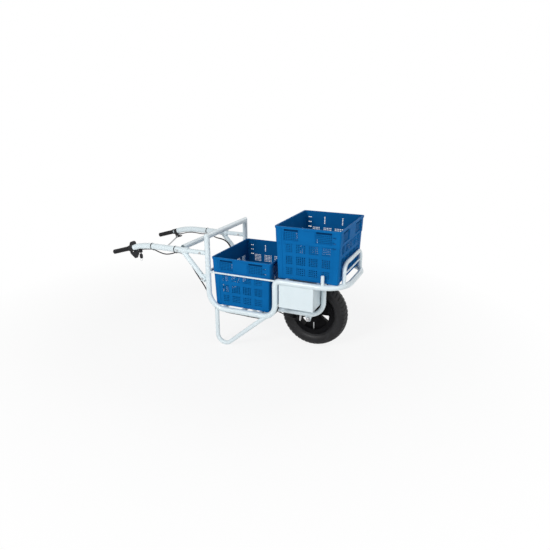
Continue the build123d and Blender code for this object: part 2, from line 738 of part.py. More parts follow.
def brake_lever_set():
    left = -right
    middle = brake_clamp_middle
    bore = grip_bar_outside / 2 + weld_gap
    ring = bar_plane(left, middle) * (Circle(brake_clamp_outside / 2) - Circle(bore))
    bracket = extrude(ring, amount=brake_clamp_width / 2, both=True)
    gap = brake_lever_thickness / 2 + rest_gap
    cheek_low = brake_pivot_below_bar + brake_lever_width
    half = brake_body_half
    face = Plane(origin=bar_plane(left, middle).origin, x_dir=bar_plane(left, middle).x_dir, z_dir=(0, 1, 0))
    nose_top = adjuster_drop + adjuster_outside
    nose = half + brake_nose_length
    outline = [(-bore - 2, half), (-bore - 2, -half), (-cheek_low, -half * 0.75), (-cheek_low, nose),
               (-nose_top, nose), (-nose_top, half)]
    flat = make_face(FilletPolyline(*outline, radius=3, close=True))
    body = extrude(face * flat, amount=gap + brake_cheek_thickness, both=True)
    slot_top = adjuster_drop
    slot = make_face(Polyline((-slot_top, 3 * half), (-slot_top, -3 * half), (-3 * cheek_low, -3 * half),
                              (-3 * cheek_low, 3 * half), close=True))
    body = body - extrude(face * slot, amount=gap, both=True)
    pin_place = face * Pos(-brake_pivot_below_bar, 0)
    pin_hole = extrude(pin_place * Circle(brake_lever_pin_outside / 2 + weld_gap), amount=3 * gap, both=True)
    keep("brake_lever_bracket", bracket + body - pin_hole)
    pin_length = gap + brake_cheek_thickness + weld_gap
    pin = extrude(pin_place * Circle(brake_lever_pin_outside / 2), amount=pin_length, both=True)
    pin_head = pin_place * Pos(0, 0, pin_length) * Circle(brake_lever_pin_outside * 0.8)
    pin_tail = pin_place * Pos(0, 0, -pin_length) * Circle(brake_lever_pin_outside * 0.7)
    keep("brake_lever_pin", pin + extrude(pin_head, amount=2) + extrude(pin_tail, amount=-1.5))
    splay = radians(brake_lever_splay)
    start = (-brake_pivot_below_bar, 0)
    elbow = (start[0] - brake_lever_bow, -2 * brake_lever_bow)
    tip = (elbow[0] - brake_lever_length * sin(splay), elbow[1] - brake_lever_length * cos(splay))
    hand = (tip[0] + 2, tip[1] - brake_lever_width)
    path = FilletPolyline(start, elbow, tip, hand, radius=[14, 6])
    width = brake_lever_width / 2
    profile = Plane(origin=path @ 0, x_dir=(0, 0, 1), z_dir=path % 0) * RectangleRounded(
        brake_lever_thickness, brake_lever_width, 2.5)
    blade = sweep(profile, path=path)
    eye = extrude(Pos(*start) * Circle(width + 2), amount=brake_lever_thickness / 2, both=True)
    ball = Pos(*hand) * Sphere(brake_lever_width * 0.62)
    bore_cut = extrude(Pos(*start) * Circle(brake_lever_pin_outside / 2 + running_gap), amount=20, both=True)
    keep("brake_lever", face.location * (blade + eye + ball - bore_cut))
    screw = bar_plane(left, adjuster_start)
    middle_of_screw = Pos(-adjuster_drop, 0)
    barrel = screw * (middle_of_screw * Circle(adjuster_outside / 2))
    collar = screw * (middle_of_screw * hexagon(adjuster_outside + 3))
    entry = bar_plane(left, adjuster_start - adjuster_length) * (
        middle_of_screw * Circle(brake_cable_outside / 2 + weld_gap))
    adjuster = extrude(barrel, amount=-adjuster_length) + extrude(collar, amount=-adjuster_length * 0.35)
    keep("cable_adjuster", adjuster - extrude(entry, amount=adjuster_length * 0.4))
    pivot = face.from_local_coords((*start, 0))
    print("brake lever pivot", pivot.X - middle_x, pivot.Z)


# Battery box
box_x = (step_x + rail_radius + box_to_step_post, carrier_x - carrier_outside / 2 - box_to_carrier_post)
box_y = (right, right + box_depth)
box_top = upper_rail_height - rail_radius - weld_gap
box_z = (box_bottom_height, box_top)
box_corner_cut = step_x + step_upper_bend - box_x[0]


def box_form(inset, y_from, y_to):
    # The box is a plain block with its upper back edge cut off to clear the bend of the rail.
    x_low = box_x[0] + inset
    x_high = box_x[1] - inset
    z_low = box_z[0] + inset
    z_high = box_z[1] - inset
    cut = box_corner_cut
    outline = [(x_low, z_low), (x_high, z_low), (x_high, z_high), (x_low + cut, z_high), (x_low, z_high - cut)]
    flat = make_face(Polyline(*[(x, y_from, z) for x, z in outline], close=True))
    return extrude(flat, amount=y_to - y_from, dir=(0, 1, 0))


def battery():
    w = box_wall
    lid = w + slip_gap
    shell = box_form(0, box_y[0] + lid, box_y[1])
    hollow = box_form(w, box_y[0], box_y[1] - w)
    hang_x = upper_crosses[0]
    tab_y = (box_y[1] - 4 * cross_outside, box_y[1] - 3 * cross_outside)
    tab_x = (hang_x - cross_outside / 2, hang_x + cross_outside / 2)
    tab = block(tab_x, tab_y, (box_top - w / 2, upper_cross_height))
    box = shell - hollow + (tab - cross_bar(hang_x, upper_cross_height))
    for route, outside in ((throttle_route(), throttle_cable_outside), (switch_route(), switch_wire_outside),
                           (motor_route(), motor_cable_outside)):
        box = box - solid_bar(route[-2:], 0, outside + 2 * bolt_gap)
    keep("battery_box", box)
    front = box_form(0, box_y[0], box_y[0] + w)
    lap_y = box_y[0] + w + box_cover_lap
    lap = box_form(w + slip_gap, box_y[0] + w, lap_y) - box_form(2 * w + slip_gap, box_y[0], lap_y + w)
    keep("battery_box_cover", front + lap)
    inner_x = (box_x[0] + w + slip_gap, box_x[1] - w - slip_gap)
    screws = []
    for share in (0.2, 0.5, 0.8):
        x = box_x[0] + share * (box_x[1] - box_x[0])
        head = Pos(x, box_y[0] + w + box_cover_lap / 2, box_z[0]) * Cylinder(
            box_screw_outside, w, align=(Align.CENTER, Align.CENTER, Align.MAX))
        screws.append(head)
    keep("box_screws", *screws)
    floor = box_z[0] + w + rest_gap
    pack_x = inner_x[0] + w + battery_end_space
    pack_y = box_y[0] + w + box_cover_lap + battery_side_space
    pack = block((pack_x, pack_x + battery_length), (pack_y, pack_y + battery_width),
                 (floor, floor + battery_height))
    keep("battery_pack", fillet(pack.edges().filter_by(Axis.Z), 6))
    unit_y = box_y[1] - w - weld_gap
    unit_x = inner_x[0] + w + controller_space
    unit_z = floor + controller_space
    unit = block((unit_x, unit_x + controller_length), (unit_y - controller_width, unit_y),
                 (unit_z, unit_z + controller_height))
    pitch = controller_height / controller_fins
    for fin in range(controller_fins - 1):
        z = unit_z + (fin + 1) * pitch
        groove = block((unit_x - 1, unit_x + controller_length + 1),
                       (unit_y - controller_width - 1, unit_y - controller_width + controller_fin_depth),
                       (z - pitch / 4, z + pitch / 4))
        unit = unit - groove
    keep("motor_controller", unit)


# Wheel, turned about the Y axis and lifted to the axle
lift = Pos(0, 0, axle_height)
rim_half = rim_width / 2
seat_inner = bead_seat_outside / 2 - rim_wall
shelf_inner = seat_inner - rim_shelf_depth
hub_half = hub_width / 2
valve_y = -web_thickness / 2 - valve_collar_across / sqrt(3) - rest_gap
hub_bore = hub_outside / 2 - hub_wall
cover_y = hub_half - hub_cover_thickness
bearing_seat = bearing_outside / 2 + hub_wall
dropout_face = carrier_spacing / 2 + dropout_thickness / 2
axle_half = dropout_face + axle_washer_thickness + axle_nut_thickness + axle_thread_past_nut
drum_y = -hub_half - weld_gap
drum_outer_y = drum_y - drum_wall - drum_width
plate_y = drum_outer_y - 2 * air_gap
plate_outer_y = plate_y - brake_plate_thickness
arm_y = plate_outer_y - rest_gap
pivot_x = -brake_pivot_behind_axle
brake_stop_y = plate_outer_y - brake_stop_outwards
brake_stop_z = axle_height - brake_stop_below_axle


def wheel():
    inner_half = rim_half - flange_thickness
    rim = turned([
        (seat_inner, -inner_half), (bead_seat_outside / 2, -inner_half), (bead_seat_outside / 2, inner_half),
        (rim_flange_outside / 2, inner_half), (rim_flange_outside / 2, rim_half), (seat_inner, rim_half),
    ])
    shelf = turned([
        (shelf_inner, -inner_half), (seat_inner + 1, -inner_half),
        (seat_inner + 1, -inner_half + rim_shelf_thickness), (shelf_inner, -inner_half + rim_shelf_thickness),
    ])
    web = turned([
        (hub_bore + 1, -web_thickness / 2), (seat_inner + 1, -web_thickness / 2),
        (seat_inner + 1, web_thickness / 2), (hub_bore + 1, web_thickness / 2),
    ])
    root = hub_outside / 2 + 4
    tip = seat_inner - rim_wall * 0.4
    outline = [(root, -window_root_width / 2), (tip, -window_tip_width / 2),
               (tip, window_tip_width / 2), (root, window_root_width / 2)]
    flat = make_face(FilletPolyline(*[(x, 0, z) for x, z in outline], radius=window_corner, close=True))
    window = extrude(flat, amount=web_thickness, both=True, dir=(0, 1, 0))
    for opening in range(window_count):
        turn = window_angle + opening * 360 / window_count
        web = web - Rot(0, -turn, 0) * window
    hub = turned([
        (hub_bore, -hub_half), (hub_outside / 2, -hub_half), (hub_outside / 2, hub_half), (hub_bore, hub_half),
    ])
    wall = turned([
        (bearing_outside / 2, -hub_half), (hub_bore + 1, -hub_half), (hub_bore + 1, -hub_half + hub_wall),
        (bearing_seat, -hub_half + hub_wall), (bearing_seat, -hub_half + bearing_width),
        (bearing_outside / 2, -hub_half + bearing_width),
    ])
    casting = rim + shelf + web + hub + wall
    ring = turned([
        (shelf_inner, -rim_half), (rim_flange_outside / 2, -rim_half),
        (rim_flange_outside / 2, -inner_half - weld_gap), (shelf_inner, -inner_half - weld_gap),
    ])
    bolts = []
    bolt_radius = shelf_inner + rim_shelf_depth * 0.45
    hole_end = 1.5 * rim_bolt_outside + rim_shelf_thickness - inner_half
    for bolt in range(rim_bolt_count):
        turn = bolt * 360 / rim_bolt_count
        x = bolt_radius * cos(radians(turn))
        z = bolt_radius * sin(radians(turn))
        hole = across(x, z, -rim_width, hole_end, rim_bolt_outside + 2 * bolt_gap)
        ring = ring - hole
        casting = casting - hole
        bolts += bolt_across(x, z, -rim_half, -inner_half + rim_shelf_thickness, rim_bolt_outside)
    cover = turned([
        (bearing_outside / 2, hub_half - bearing_width), (bearing_seat, hub_half - bearing_width),
        (bearing_seat, cover_y), (hub_bore - weld_gap, cover_y), (hub_bore - weld_gap, hub_half),
        (bearing_outside / 2, hub_half),
    ])
    boss = hub_bore - hub_screw_outside
    for screw in range(hub_screw_count):
        turn = radians(30 + screw * 360 / hub_screw_count)
        x = boss * cos(turn)
        z = boss * sin(turn)
        head_y = hub_half + weld_gap
        bolts.append(across(x, z, head_y, head_y + hub_screw_outside * 0.6, hub_screw_outside * 1.8))
    keep("wheel_casting", lift * (casting - valve_bar(weld_gap)))
    keep("rim_ring", lift * ring)
    keep("hub_cover", lift * cover)
    keep("wheel_bolts", *[lift * bolt for bolt in bolts])
    bearing = turned([
        (axle_outside / 2 + running_gap, -hub_half), (bearing_outside / 2 - weld_gap, -hub_half),
        (bearing_outside / 2 - weld_gap, -hub_half + bearing_width),
        (axle_outside / 2 + running_gap, -hub_half + bearing_width),
    ])
    keep("wheel_bearings", *[lift * piece for piece in both(bearing)])


def tyre():
    seat = bead_seat_outside / 2 + weld_gap
    bead = rim_half - flange_thickness - weld_gap
    crown = tyre_outside / 2
    belly = (seat + crown) / 2 + tyre_belly_rise
    half = tyre_width / 2
    flange = rim_flange_outside / 2 + tyre_above_flange
    shoulder = crown - tyre_shoulder_depth
    shoulder_half = half * tyre_shoulder_share
    outer = [
        Line((seat, -bead), (flange, -bead)),
        ThreePointArc((flange, -bead), (belly, -half), (shoulder, -shoulder_half)),
        ThreePointArc((shoulder, -shoulder_half), (crown, 0), (shoulder, shoulder_half)),
        ThreePointArc((shoulder, shoulder_half), (belly, half), (flange, bead)),
        Line((flange, bead), (seat, bead)),
        Line((seat, bead), (seat, -bead)),
    ]
    w = tyre_wall
    neck = bead - bead_width
    inner = [
        Line((seat - 1, -neck), (flange, -neck)),
        ThreePointArc((flange, -neck), (belly, w - half), (shoulder - w, w - shoulder_half)),
        ThreePointArc((shoulder - w, w - shoulder_half), (crown - w - tread_depth, 0),
                      (shoulder - w, shoulder_half - w)),
        ThreePointArc((shoulder - w, shoulder_half - w), (belly, half - w), (flange, neck)),
        Line((flange, neck), (seat - 1, neck)),
        Line((seat - 1, neck), (seat - 1, -neck)),
    ]
    ring = revolve(make_face(outer) - make_face(inner), Axis.Y)
    groove_reach = shoulder_half * 0.62
    grooves = []
    for groove in range(tread_grooves):
        turn = groove * 360 / tread_grooves
        for side, lag in ((-1, 0), (1, 180 / tread_grooves)):
            cutter = Pos(crown - tread_depth + 10, side * (shoulder_half - groove_reach / 2 + 8), 0) * (
                Rot(side * tread_groove_slant, 0, 0) * Box(20, groove_reach + 8, tread_groove_width))
            grooves.append(Rot(0, turn + lag, 0) * cutter)
    ring = ring - grooves
    keep("tyre", lift * ring)
    keep("valve_stem", lift * (valve_bar(0) + valve_collar()))


def valve_bar(grow):
    # The stem stands in a hole through the rim, beside the web, and points from the tyre towards the hub.
    place = Plane(origin=(0, valve_y, valve_length - bead_seat_outside / 2), z_dir=(0, 0, -1))
    stem = extrude(place * Circle(valve_outside / 2 + grow), amount=valve_length - weld_gap + 4 * grow)
    return Rot(0, -90 - valve_angle, 0) * stem


def valve_collar():
    place = Plane(origin=(0, valve_y, 2 - shelf_inner), z_dir=(0, 0, 1))
    collar = extrude(place * hexagon(valve_collar_across), amount=valve_outside / 2)
    return Rot(0, -90 - valve_angle, 0) * collar


def axle_and_motor():
    shaft = across(0, axle_height, -axle_half, axle_half, axle_outside)
    keep("axle", shaft)
    nuts = []
    washer_face = dropout_face + axle_washer_thickness
    for face in both(across(0, axle_height, dropout_face, washer_face, axle_washer_outside)):
        nuts.append(face - across(0, axle_height, -axle_half, axle_half, axle_outside + 2 * weld_gap))
    start = Plane(origin=(0, washer_face, axle_height), z_dir=(0, 1, 0))
    ring = start * (hexagon(axle_nut_across) - Circle(axle_outside / 2 + weld_gap))
    nuts += both(extrude(ring, amount=axle_nut_thickness))
    for y_from, y_to in ((-plate_outer_y, dropout_face - dropout_thickness),
                         (-hub_half - rest_gap, dropout_thickness - dropout_face)):
        tube = across(0, axle_height, -y_from, -y_to, axle_washer_outside - 3)
        nuts.append(tube - across(0, axle_height, -axle_half, axle_half, axle_outside + 2 * weld_gap))
    keep("axle_nuts_and_spacers", *nuts)
    half = stator_width / 2
    start = Plane(origin=(0, -half, axle_height), z_dir=(0, 1, 0))
    core_ring = start * (Circle(stator_outside / 2) - Circle(axle_outside / 2 + weld_gap))
    core = extrude(core_ring, amount=stator_width)
    slot_root = stator_outside * 0.3
    for slot in range(stator_slots):
        turn = slot * 360 / stator_slots
        cutter = Pos((slot_root + stator_outside / 2) / 2 + 4, 0, 0) * Box(stator_outside / 2 - slot_root + 8,
                                                                          2 * stator_width, 5)
        core = core - lift * (Rot(0, turn, 0) * cutter)
    keep("motor_stator", core)
    magnet_inner = stator_outside / 2 + air_gap
    pitch = 360 / magnet_count
    magnets = []
    ring = turned([(magnet_inner, -half), (magnet_inner + magnet_thickness, -half),
                   (magnet_inner + magnet_thickness, half), (magnet_inner, half)])
    magnet_width = magnet_inner * radians(pitch) * 0.86
    wedge = Pos(hub_outside / 2, 0, 0) * Box(hub_outside, 2 * stator_width, magnet_width)
    for magnet in range(magnet_count):
        magnets.append(lift * ((Rot(0, magnet * pitch, 0) * wedge) & ring))
    keep("rotor_magnets", *magnets)


# Band brake on the right of the hub
def brake():
    radius = drum_outside / 2
    bore = bearing_outside / 2 - 4
    drum = turned([
        (bore, drum_y), (radius, drum_y), (radius, drum_outer_y), (radius - drum_wall, drum_outer_y),
        (radius - drum_wall, drum_y - drum_wall), (bore, drum_y - drum_wall),
    ])
    keep("brake_drum", lift * drum)
    band_low = radius + air_gap
    band_y = drum_y - drum_wall - (drum_width - band_width) / 2
    band = turned([(band_low, band_y), (band_low + band_thickness, band_y),
                   (band_low + band_thickness, band_y - band_width), (band_low, band_y - band_width)])
    mouth = block((-2 * radius, -radius * 0.5), (drum_outer_y - 1, drum_y + 1), (-radius * 0.3, radius * 0.3))
    ear_z = radius * 0.3
    ear_x = -sqrt(band_low**2 - ear_z**2)
    band = band - mouth
    for side in (1, -1):
        ear = block((ear_x - 16, ear_x), (band_y - band_width, band_y),
                    (side * ear_z - band_thickness / 2, side * ear_z + band_thickness / 2))
        band = band + ear
    inside = turned([
        (1, drum_outer_y - 2), (band_low, drum_outer_y - 2), (band_low, drum_y + 2), (1, drum_y + 2),
    ])
    keep("brake_band", lift * (band - inside))
    half = torque_arm_width / 2
    disc = across(0, axle_height, plate_y, plate_outer_y, brake_plate_outside)
    arm = plate([(-torque_arm_reach, axle_height - half), (0, axle_height - half), (0, axle_height + half),
                 (-torque_arm_reach, axle_height + half)], 4, plate_outer_y, plate_y)
    tab_top = carrier_height - carrier_outside / 2 - rest_gap
    tab = block((-torque_arm_reach, -torque_arm_reach + 16), (carrier_y - 4, plate_y), (tab_top - 4, tab_top))
    stop = block((-torque_arm_reach, -torque_arm_reach + 4), (brake_stop_y - 7, plate_y),
                 (brake_stop_z - 8, axle_height - half + 1))
    stop_hole = Plane(origin=(-torque_arm_reach, brake_stop_y, brake_stop_z), z_dir=(1, 0, 0)) * Circle(1.5)
    stop = stop - extrude(stop_hole, amount=10, both=True)
    anchor = across(ear_x - 11, axle_height - ear_z + band_thickness + 2.5, plate_y, band_y - band_width / 2, 4)
    hole = across(0, axle_height, plate_outer_y - 1, plate_y + 1, axle_outside + 2 * weld_gap)
    pin_reach = arm_y - brake_arm_thickness - rest_gap
    pin = across(pivot_x, axle_height, plate_y, pin_reach, brake_pin_outside)
    pin_cap = across(pivot_x, axle_height, pin_reach, pin_reach - 2.5, brake_pin_outside * 1.5)
    keep("brake_plate", disc + arm + tab + stop + anchor + pin + pin_cap - hole)
    w = brake_arm_width / 2
    low = axle_height - brake_arm_length
    lever = plate([(pivot_x - w, axle_height + w), (pivot_x + w, axle_height + w), (pivot_x + w * 0.7 - 6, low),
                   (pivot_x - w * 0.7 - 6, low)], 4, arm_y, arm_y - brake_arm_thickness)
    bore_cut = across(pivot_x, axle_height, arm_y + 1, arm_y - brake_arm_thickness - 1,
                      brake_pin_outside + 2 * running_gap)
    keep("brake_arm", lever - bore_cut)
    print("brake arm pivot x", pivot_x - middle_x)


# Crates
def crate_section(height, grow):
    share = height / crate_height
    shrink = crate_base_shrink * (1 - share) + crate_lip - grow
    flat = RectangleRounded(crate_length - 2 * shrink, crate_width - 2 * shrink, crate_corner + grow)
    return Pos(0, 0, height) * flat


def crate_shell(low, high, grow):
    return loft([crate_section(low, grow), crate_section(high, grow)])


def window_cutters(length, depth, columns, turn):
    low = crate_foot_height + crate_floor + window_floor_beam
    high = crate_height - crate_band_height - window_band_beam
    pitch_x = (length - 2 * window_corner_post + window_post) / columns
    pitch_z = (high - low + window_beam) / window_rows
    slot_pitch = (pitch_x - window_post + window_slot_bar) / window_slots
    first_slot = window_corner_post - (length + window_slot_bar - slot_pitch) / 2
    cutters = []
    slot_low = []
    for row in range(window_rows):
        slot_low.append((low + row * pitch_z, pitch_z - window_beam))
    band_low = crate_height - crate_band_height + window_beam
    slot_low.append((band_low, crate_band_height - crate_lip_height - 2 * window_beam))
    for row, (bottom, height) in enumerate(slot_low):
        for column in range(columns):
            middle_panel = abs(column - (columns - 1) / 2) < 1
            if row == window_rows and middle_panel:
                continue
            for slot in range(window_slots):
                x = first_slot + column * pitch_x + slot * slot_pitch
                cutter = Pos(x, 0, bottom + height / 2) * Box(slot_pitch - window_slot_bar, 2 * depth, height)
                cutters.append(Rot(0, 0, turn) * cutter)
    return cutters


def make_crate():
    shell = crate_shell(0, crate_height, 0)
    shell = shell + crate_shell(crate_height - crate_band_height, crate_height, crate_band)
    shell = shell + crate_shell(crate_height - crate_lip_height, crate_height, crate_lip)
    floor_top = crate_foot_height + crate_floor
    shell = shell - crate_shell(floor_top, crate_height + 1, -crate_wall)
    shell = shell - crate_shell(-1, crate_foot_height, -crate_wall)
    relief_x = crate_length - 2 * crate_foot_length
    relief_y = crate_width - 2 * crate_foot_length
    relief = [Pos(0, 0, 0) * Box(relief_x, 2 * crate_width, 2 * (crate_foot_height - crate_floor)),
              Pos(0, 0, 0) * Box(2 * crate_length, relief_y, 2 * (crate_foot_height - crate_floor))]
    base_length = crate_length - 2 * (crate_base_shrink + crate_lip)
    base_width = crate_width - 2 * (crate_base_shrink + crate_lip)
    cutters = window_cutters(base_length, crate_width, window_columns_side, 0)
    cutters += window_cutters(base_width, crate_length, window_columns_end, 90)
    return shell - relief - cutters


def crates():
    crate = make_crate()
    keep("front_crate", Pos(front_crate_x, 0, upper_deck + rest_gap) * crate)
    keep("rear_crate", Pos(rear_crate_x, 0, lower_deck + rest_gap) * crate)


# Cables held along the frame
def cable(name, points, outside):
    corners = [Vector(*points[0])]
    for here, after in zip(points[1:], points[2:]):
        if (Vector(*here) - corners[-1]).get_angle(Vector(*after) - Vector(*here)) > least_cable_turn:
            corners.append(Vector(*here))
    corners.append(Vector(*points[-1]))
    radii = []
    for before, here, after in zip(corners, corners[1:], corners[2:]):
        turn = radians((here - before).get_angle(after - here))
        shorter = min((here - before).length, (after - here).length)
        radii.append(0.45 * shorter / tan(turn / 2))
    path = FilletPolyline(*corners, radius=radii)
    start = Plane(origin=path @ 0, z_dir=path % 0)
    cord = sweep(start * Circle(outside / 2), path=path)
    ideal = pi * outside**2 / 4 * path.length
    print(name, "length", round(path.length, 1), "volume share", round(cord.volume / ideal, 4),
          "radii", [round(radius) for radius in radii])
    keep(name, cord)


def tie(x, side, cords):
    # A band round the handle tube and the cords below it, each cord given by its offset, drop and diameter.
    face = Plane(origin=(x, side, handle_height), x_dir=(0, 1, 0), z_dir=(-1, 0, 0))
    edges = Circle(handle_radius + rest_gap).edges()
    for shift, fall, outside in cords:
        edges += (Pos(shift, fall) * Circle(outside / 2 + tie_slack)).edges()
    inner = make_hull(edges)
    return extrude(face * (offset(inner, tie_thickness) - inner), amount=tie_width / 2, both=True)


def under_bend(side, fall):
    # Corner points of a line that follows the bend of a handle tube at a steady distance below it.
    share = handle_drop_angle / 6
    reach = (handle_bend - fall) / cos(radians(share))
    points = []
    for step in (5, 3, 1):
        angle = radians(step * share)
        points.append((straight_x - reach * sin(angle), side,
                       handle_height - handle_bend + reach * cos(angle)))
    return points


throttle_ties = (straight_x - 10, seam_x - 9)
brake_tie_x = back_x - brake_tie_behind_post
brake_cable_drop = handle_radius + brake_cable_outside / 2 + 1.5
switch_wire_drop = brake_cable_drop - 1
switch_wire_aside = 6.5
under_deck = lower_cross_height - cross_outside / 2


def mix(low, high, share):
    return low + (high - low) * share


def beside_strut(share, away):
    # A point along the right strut, some way behind and below it.
    run_x = foot_x - strut_top_x
    run_z = strut_foot_height - handle_height
    length = sqrt(run_x**2 + run_z**2)
    x = strut_top_x + run_x * share + away * run_z / length
    return (x, right + strut_cable_aside, handle_height + run_z * share - away * run_x / length)


def throttle_route():
    aside = right + throttle_cable_aside
    inside = bar_plane(aside, throttle_start + throttle_width * 0.4)
    start = inside.from_local_coords((-throttle_cable_drop, 0, 0))
    top = handle_height - throttle_cable_drop
    inner = right + rail_radius + throttle_cable_outside + 4
    low = under_deck - throttle_cable_outside - 12
    back = lower_crosses[0] - 14
    ahead = carrier_root_x - cross_outside / 2
    entry = box_bottom_height + 32
    sag = [(mix(*throttle_ties, share), aside, top - fall)
           for share, fall in ((0.25, 14), (0.5, 22), (0.75, 15))]
    strut = [beside_strut(*place) for place in
             ((0.04, 29), (0.21, 23), (0.39, 25), (0.58, 31), (0.77, 36), (0.97, 40), (1.17, 44))]
    rail = [(mix(back, ahead, share), right + strut_cable_aside, low + wave) for share, wave in
            ((0, 6), (0.25, 2), (0.5, 2.5), (0.75, 0), (1, 0))]
    rise = [(box_x[0] - box_cable_run * share, inner + 1, height) for share, height in
            ((1.04, low + 2), (0.79, low + 10), (0.47, low + 34), (0.25, low + 56), (0.15, entry - 52),
             (0.08, entry - 22), (-0.2, entry + 8))]
    return [
        tuple(start), *under_bend(aside, throttle_cable_drop), (throttle_ties[0], aside, top + 0.5), *sag,
        (throttle_ties[1], aside, top + 1), *strut,
        (back_x - 23, right + strut_cable_aside + 2, lower_rail_height + 82),
        (back_x - 2, inner, lower_rail_height + 36), (back_x + 32, inner, lower_rail_height - 4), *rail, *rise,
    ]


def brake_route():
    left = -right
    inside = bar_plane(left, adjuster_start - adjuster_length * 0.7).from_local_coords((-adjuster_drop, 0, 0))
    after = bar_plane(left, adjuster_start - adjuster_length - 18).from_local_coords((-adjuster_drop, 0, 0))
    top = handle_height - brake_cable_drop
    low = under_deck - brake_cable_outside - 6
    beside_tyre = -tyre_width / 2 - 30
    stop_x = -torque_arm_reach - rest_gap
    behind = [(back_x - away, left - inset, top - fall) for away, inset, fall in (
        (260, 8, 4), (216, 36, 3), (172, 66, 1), (134, 82, -2), (102, 88, 4), (76, 90, 20), (58, 90, 46),
        (46, 90, 84), (38, 89, 132), (33, 87, 186), (26, 84, 242), (10, 80, 292), (-20, 76, 324))]
    deck = [(mix(back_x + 64, carrier_root_x - 11, share), mix(left - 70, beside_tyre + 20, share), low + wave)
            for share, wave in ((0, 4), (0.21, 0), (0.41, 2), (0.61, 0), (0.8, 2), (1, 0))]
    return [
        tuple(inside), tuple(after), *under_bend(left, brake_cable_drop)[1:],
        (mix(straight_x, brake_tie_x, 0.5), left, top - 5), (brake_tie_x, left, top), *behind, *deck,
        (carrier_root_x + 47, beside_tyre + 1, low - 8), (stop_x - 62, beside_tyre, low - 24),
        (stop_x - 20, brake_stop_y, brake_stop_z + 1), (stop_x, brake_stop_y, brake_stop_z),
    ]


def switch_route():
    far = -right
    left = far - switch_wire_aside
    rise = 2 - adjuster_drop
    start = bar_plane(left, adjuster_start - adjuster_length * 0.5).from_local_coords((rise, 0, 0))
    after = bar_plane(left, adjuster_start - adjuster_length - 18).from_local_coords((rise, 0, 0))
    top = handle_height - switch_wire_drop
    low = under_deck - brake_cable_outside - 3
    box_side = right + switch_wire_from_rail
    entry = box_bottom_height + 26
    behind = [(back_x - away, far - inset, top - fall) for away, inset, fall in (
        (262, 14, 2), (218, 44, 1), (174, 76, 0), (136, 95, -2), (105, 102, 1), (80, 105, 12), (61, 105, 34),
        (48, 105, 68), (40, 104, 114), (35, 102, 168), (29, 99, 224), (15, 95, 276), (-14, 91, 311))]
    deck = [(mix(back_x + 50, carrier_root_x + 3, share), mix(far - 88, box_side + 11, share), low + wave)
            for share, wave in ((0, 3), (0.14, 0), (0.29, 1), (0.43, 0), (0.57, 1), (0.71, 0), (0.86, 1),
                                (1, -1))]
    rise = [(box_x[0] - box_cable_run * share, box_side + shift, height) for share, shift, height in
            ((0.92, 3, low + 7), (0.64, 1, low + 36), (0.45, 0, entry - 46), (0.22, 0, entry - 12),
             (-0.2, 0, entry + 4))]
    return [
        tuple(start), tuple(after), *under_bend(left, switch_wire_drop)[1:],
        (mix(straight_x, brake_tie_x, 0.5), left, top - 3), (brake_tie_x, left, top), *behind, *deck, *rise,
    ]


def motor_route():
    beside = carrier_y + carrier_outside / 2 + motor_cable_outside / 2 + 6
    rise = box_bottom_height - axle_height
    return [
        (3, beside, axle_height + 13), (7, beside, axle_height + rise * 0.4),
        (20, beside - 4, axle_height + rise * 0.68), (31, beside - 12, axle_height + rise * 0.92),
        (37, beside - 18, axle_height + rise + 14),
    ]


def cables():
    cable("throttle_cable", throttle_route(), throttle_cable_outside)
    cable("brake_cable", brake_route(), brake_cable_outside)
    cable("brake_switch_wire", switch_route(), switch_wire_outside)
    cable("motor_cable", motor_route(), motor_cable_outside)
    right_cord = (throttle_cable_aside, throttle_cable_drop, throttle_cable_outside)
    bands = [tie(x, right, [right_cord]) for x in throttle_ties]
    left_cords = [(0, brake_cable_drop, brake_cable_outside),
                  (-switch_wire_aside, switch_wire_drop, switch_wire_outside)]
    bands.append(tie(brake_tie_x, -right, left_cords))
    keep("cable_ties", *bands)


frame_tubes()
deck()
wheel_carriers()
legs()
guards()
handle_brackets()
handle_tubes()
grips()
throttle()
ignition()
brake_lever_set()
battery()
wheel()
tyre()
axle_and_motor()
brake()
crates()
cables()

for name, shape in nodes.items():
    export_step(shape, "parts/" + name + ".step")
print("axle at x", -middle_x, "nodes", len(nodes))
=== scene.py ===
import json
import math

import bpy
import numpy as np
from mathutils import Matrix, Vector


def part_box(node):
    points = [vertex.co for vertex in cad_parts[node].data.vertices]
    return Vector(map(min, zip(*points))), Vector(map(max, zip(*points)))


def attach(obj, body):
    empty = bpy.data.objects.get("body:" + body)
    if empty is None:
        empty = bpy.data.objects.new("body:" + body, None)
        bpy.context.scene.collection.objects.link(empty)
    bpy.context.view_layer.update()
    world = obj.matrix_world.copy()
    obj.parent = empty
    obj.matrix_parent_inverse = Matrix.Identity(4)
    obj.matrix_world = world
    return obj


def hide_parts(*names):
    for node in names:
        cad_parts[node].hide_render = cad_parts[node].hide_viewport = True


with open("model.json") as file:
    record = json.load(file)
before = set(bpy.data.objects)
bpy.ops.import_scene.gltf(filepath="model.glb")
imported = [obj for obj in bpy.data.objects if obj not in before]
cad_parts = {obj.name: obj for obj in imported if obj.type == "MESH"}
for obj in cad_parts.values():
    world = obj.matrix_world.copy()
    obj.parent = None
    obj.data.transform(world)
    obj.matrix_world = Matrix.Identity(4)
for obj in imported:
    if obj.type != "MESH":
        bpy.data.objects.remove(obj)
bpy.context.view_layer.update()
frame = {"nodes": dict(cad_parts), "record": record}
nodes = frame["nodes"]
scene = bpy.context.scene
print("stage: frame loaded,", len(nodes), "nodes")


def link(tree, start, end):
    tree.links.new(start, end)


def addNode(tree, kind, **inputs):
    node = tree.nodes.new(kind)
    for name, value in inputs.items():
        node.inputs[name].default_value = value
    return node


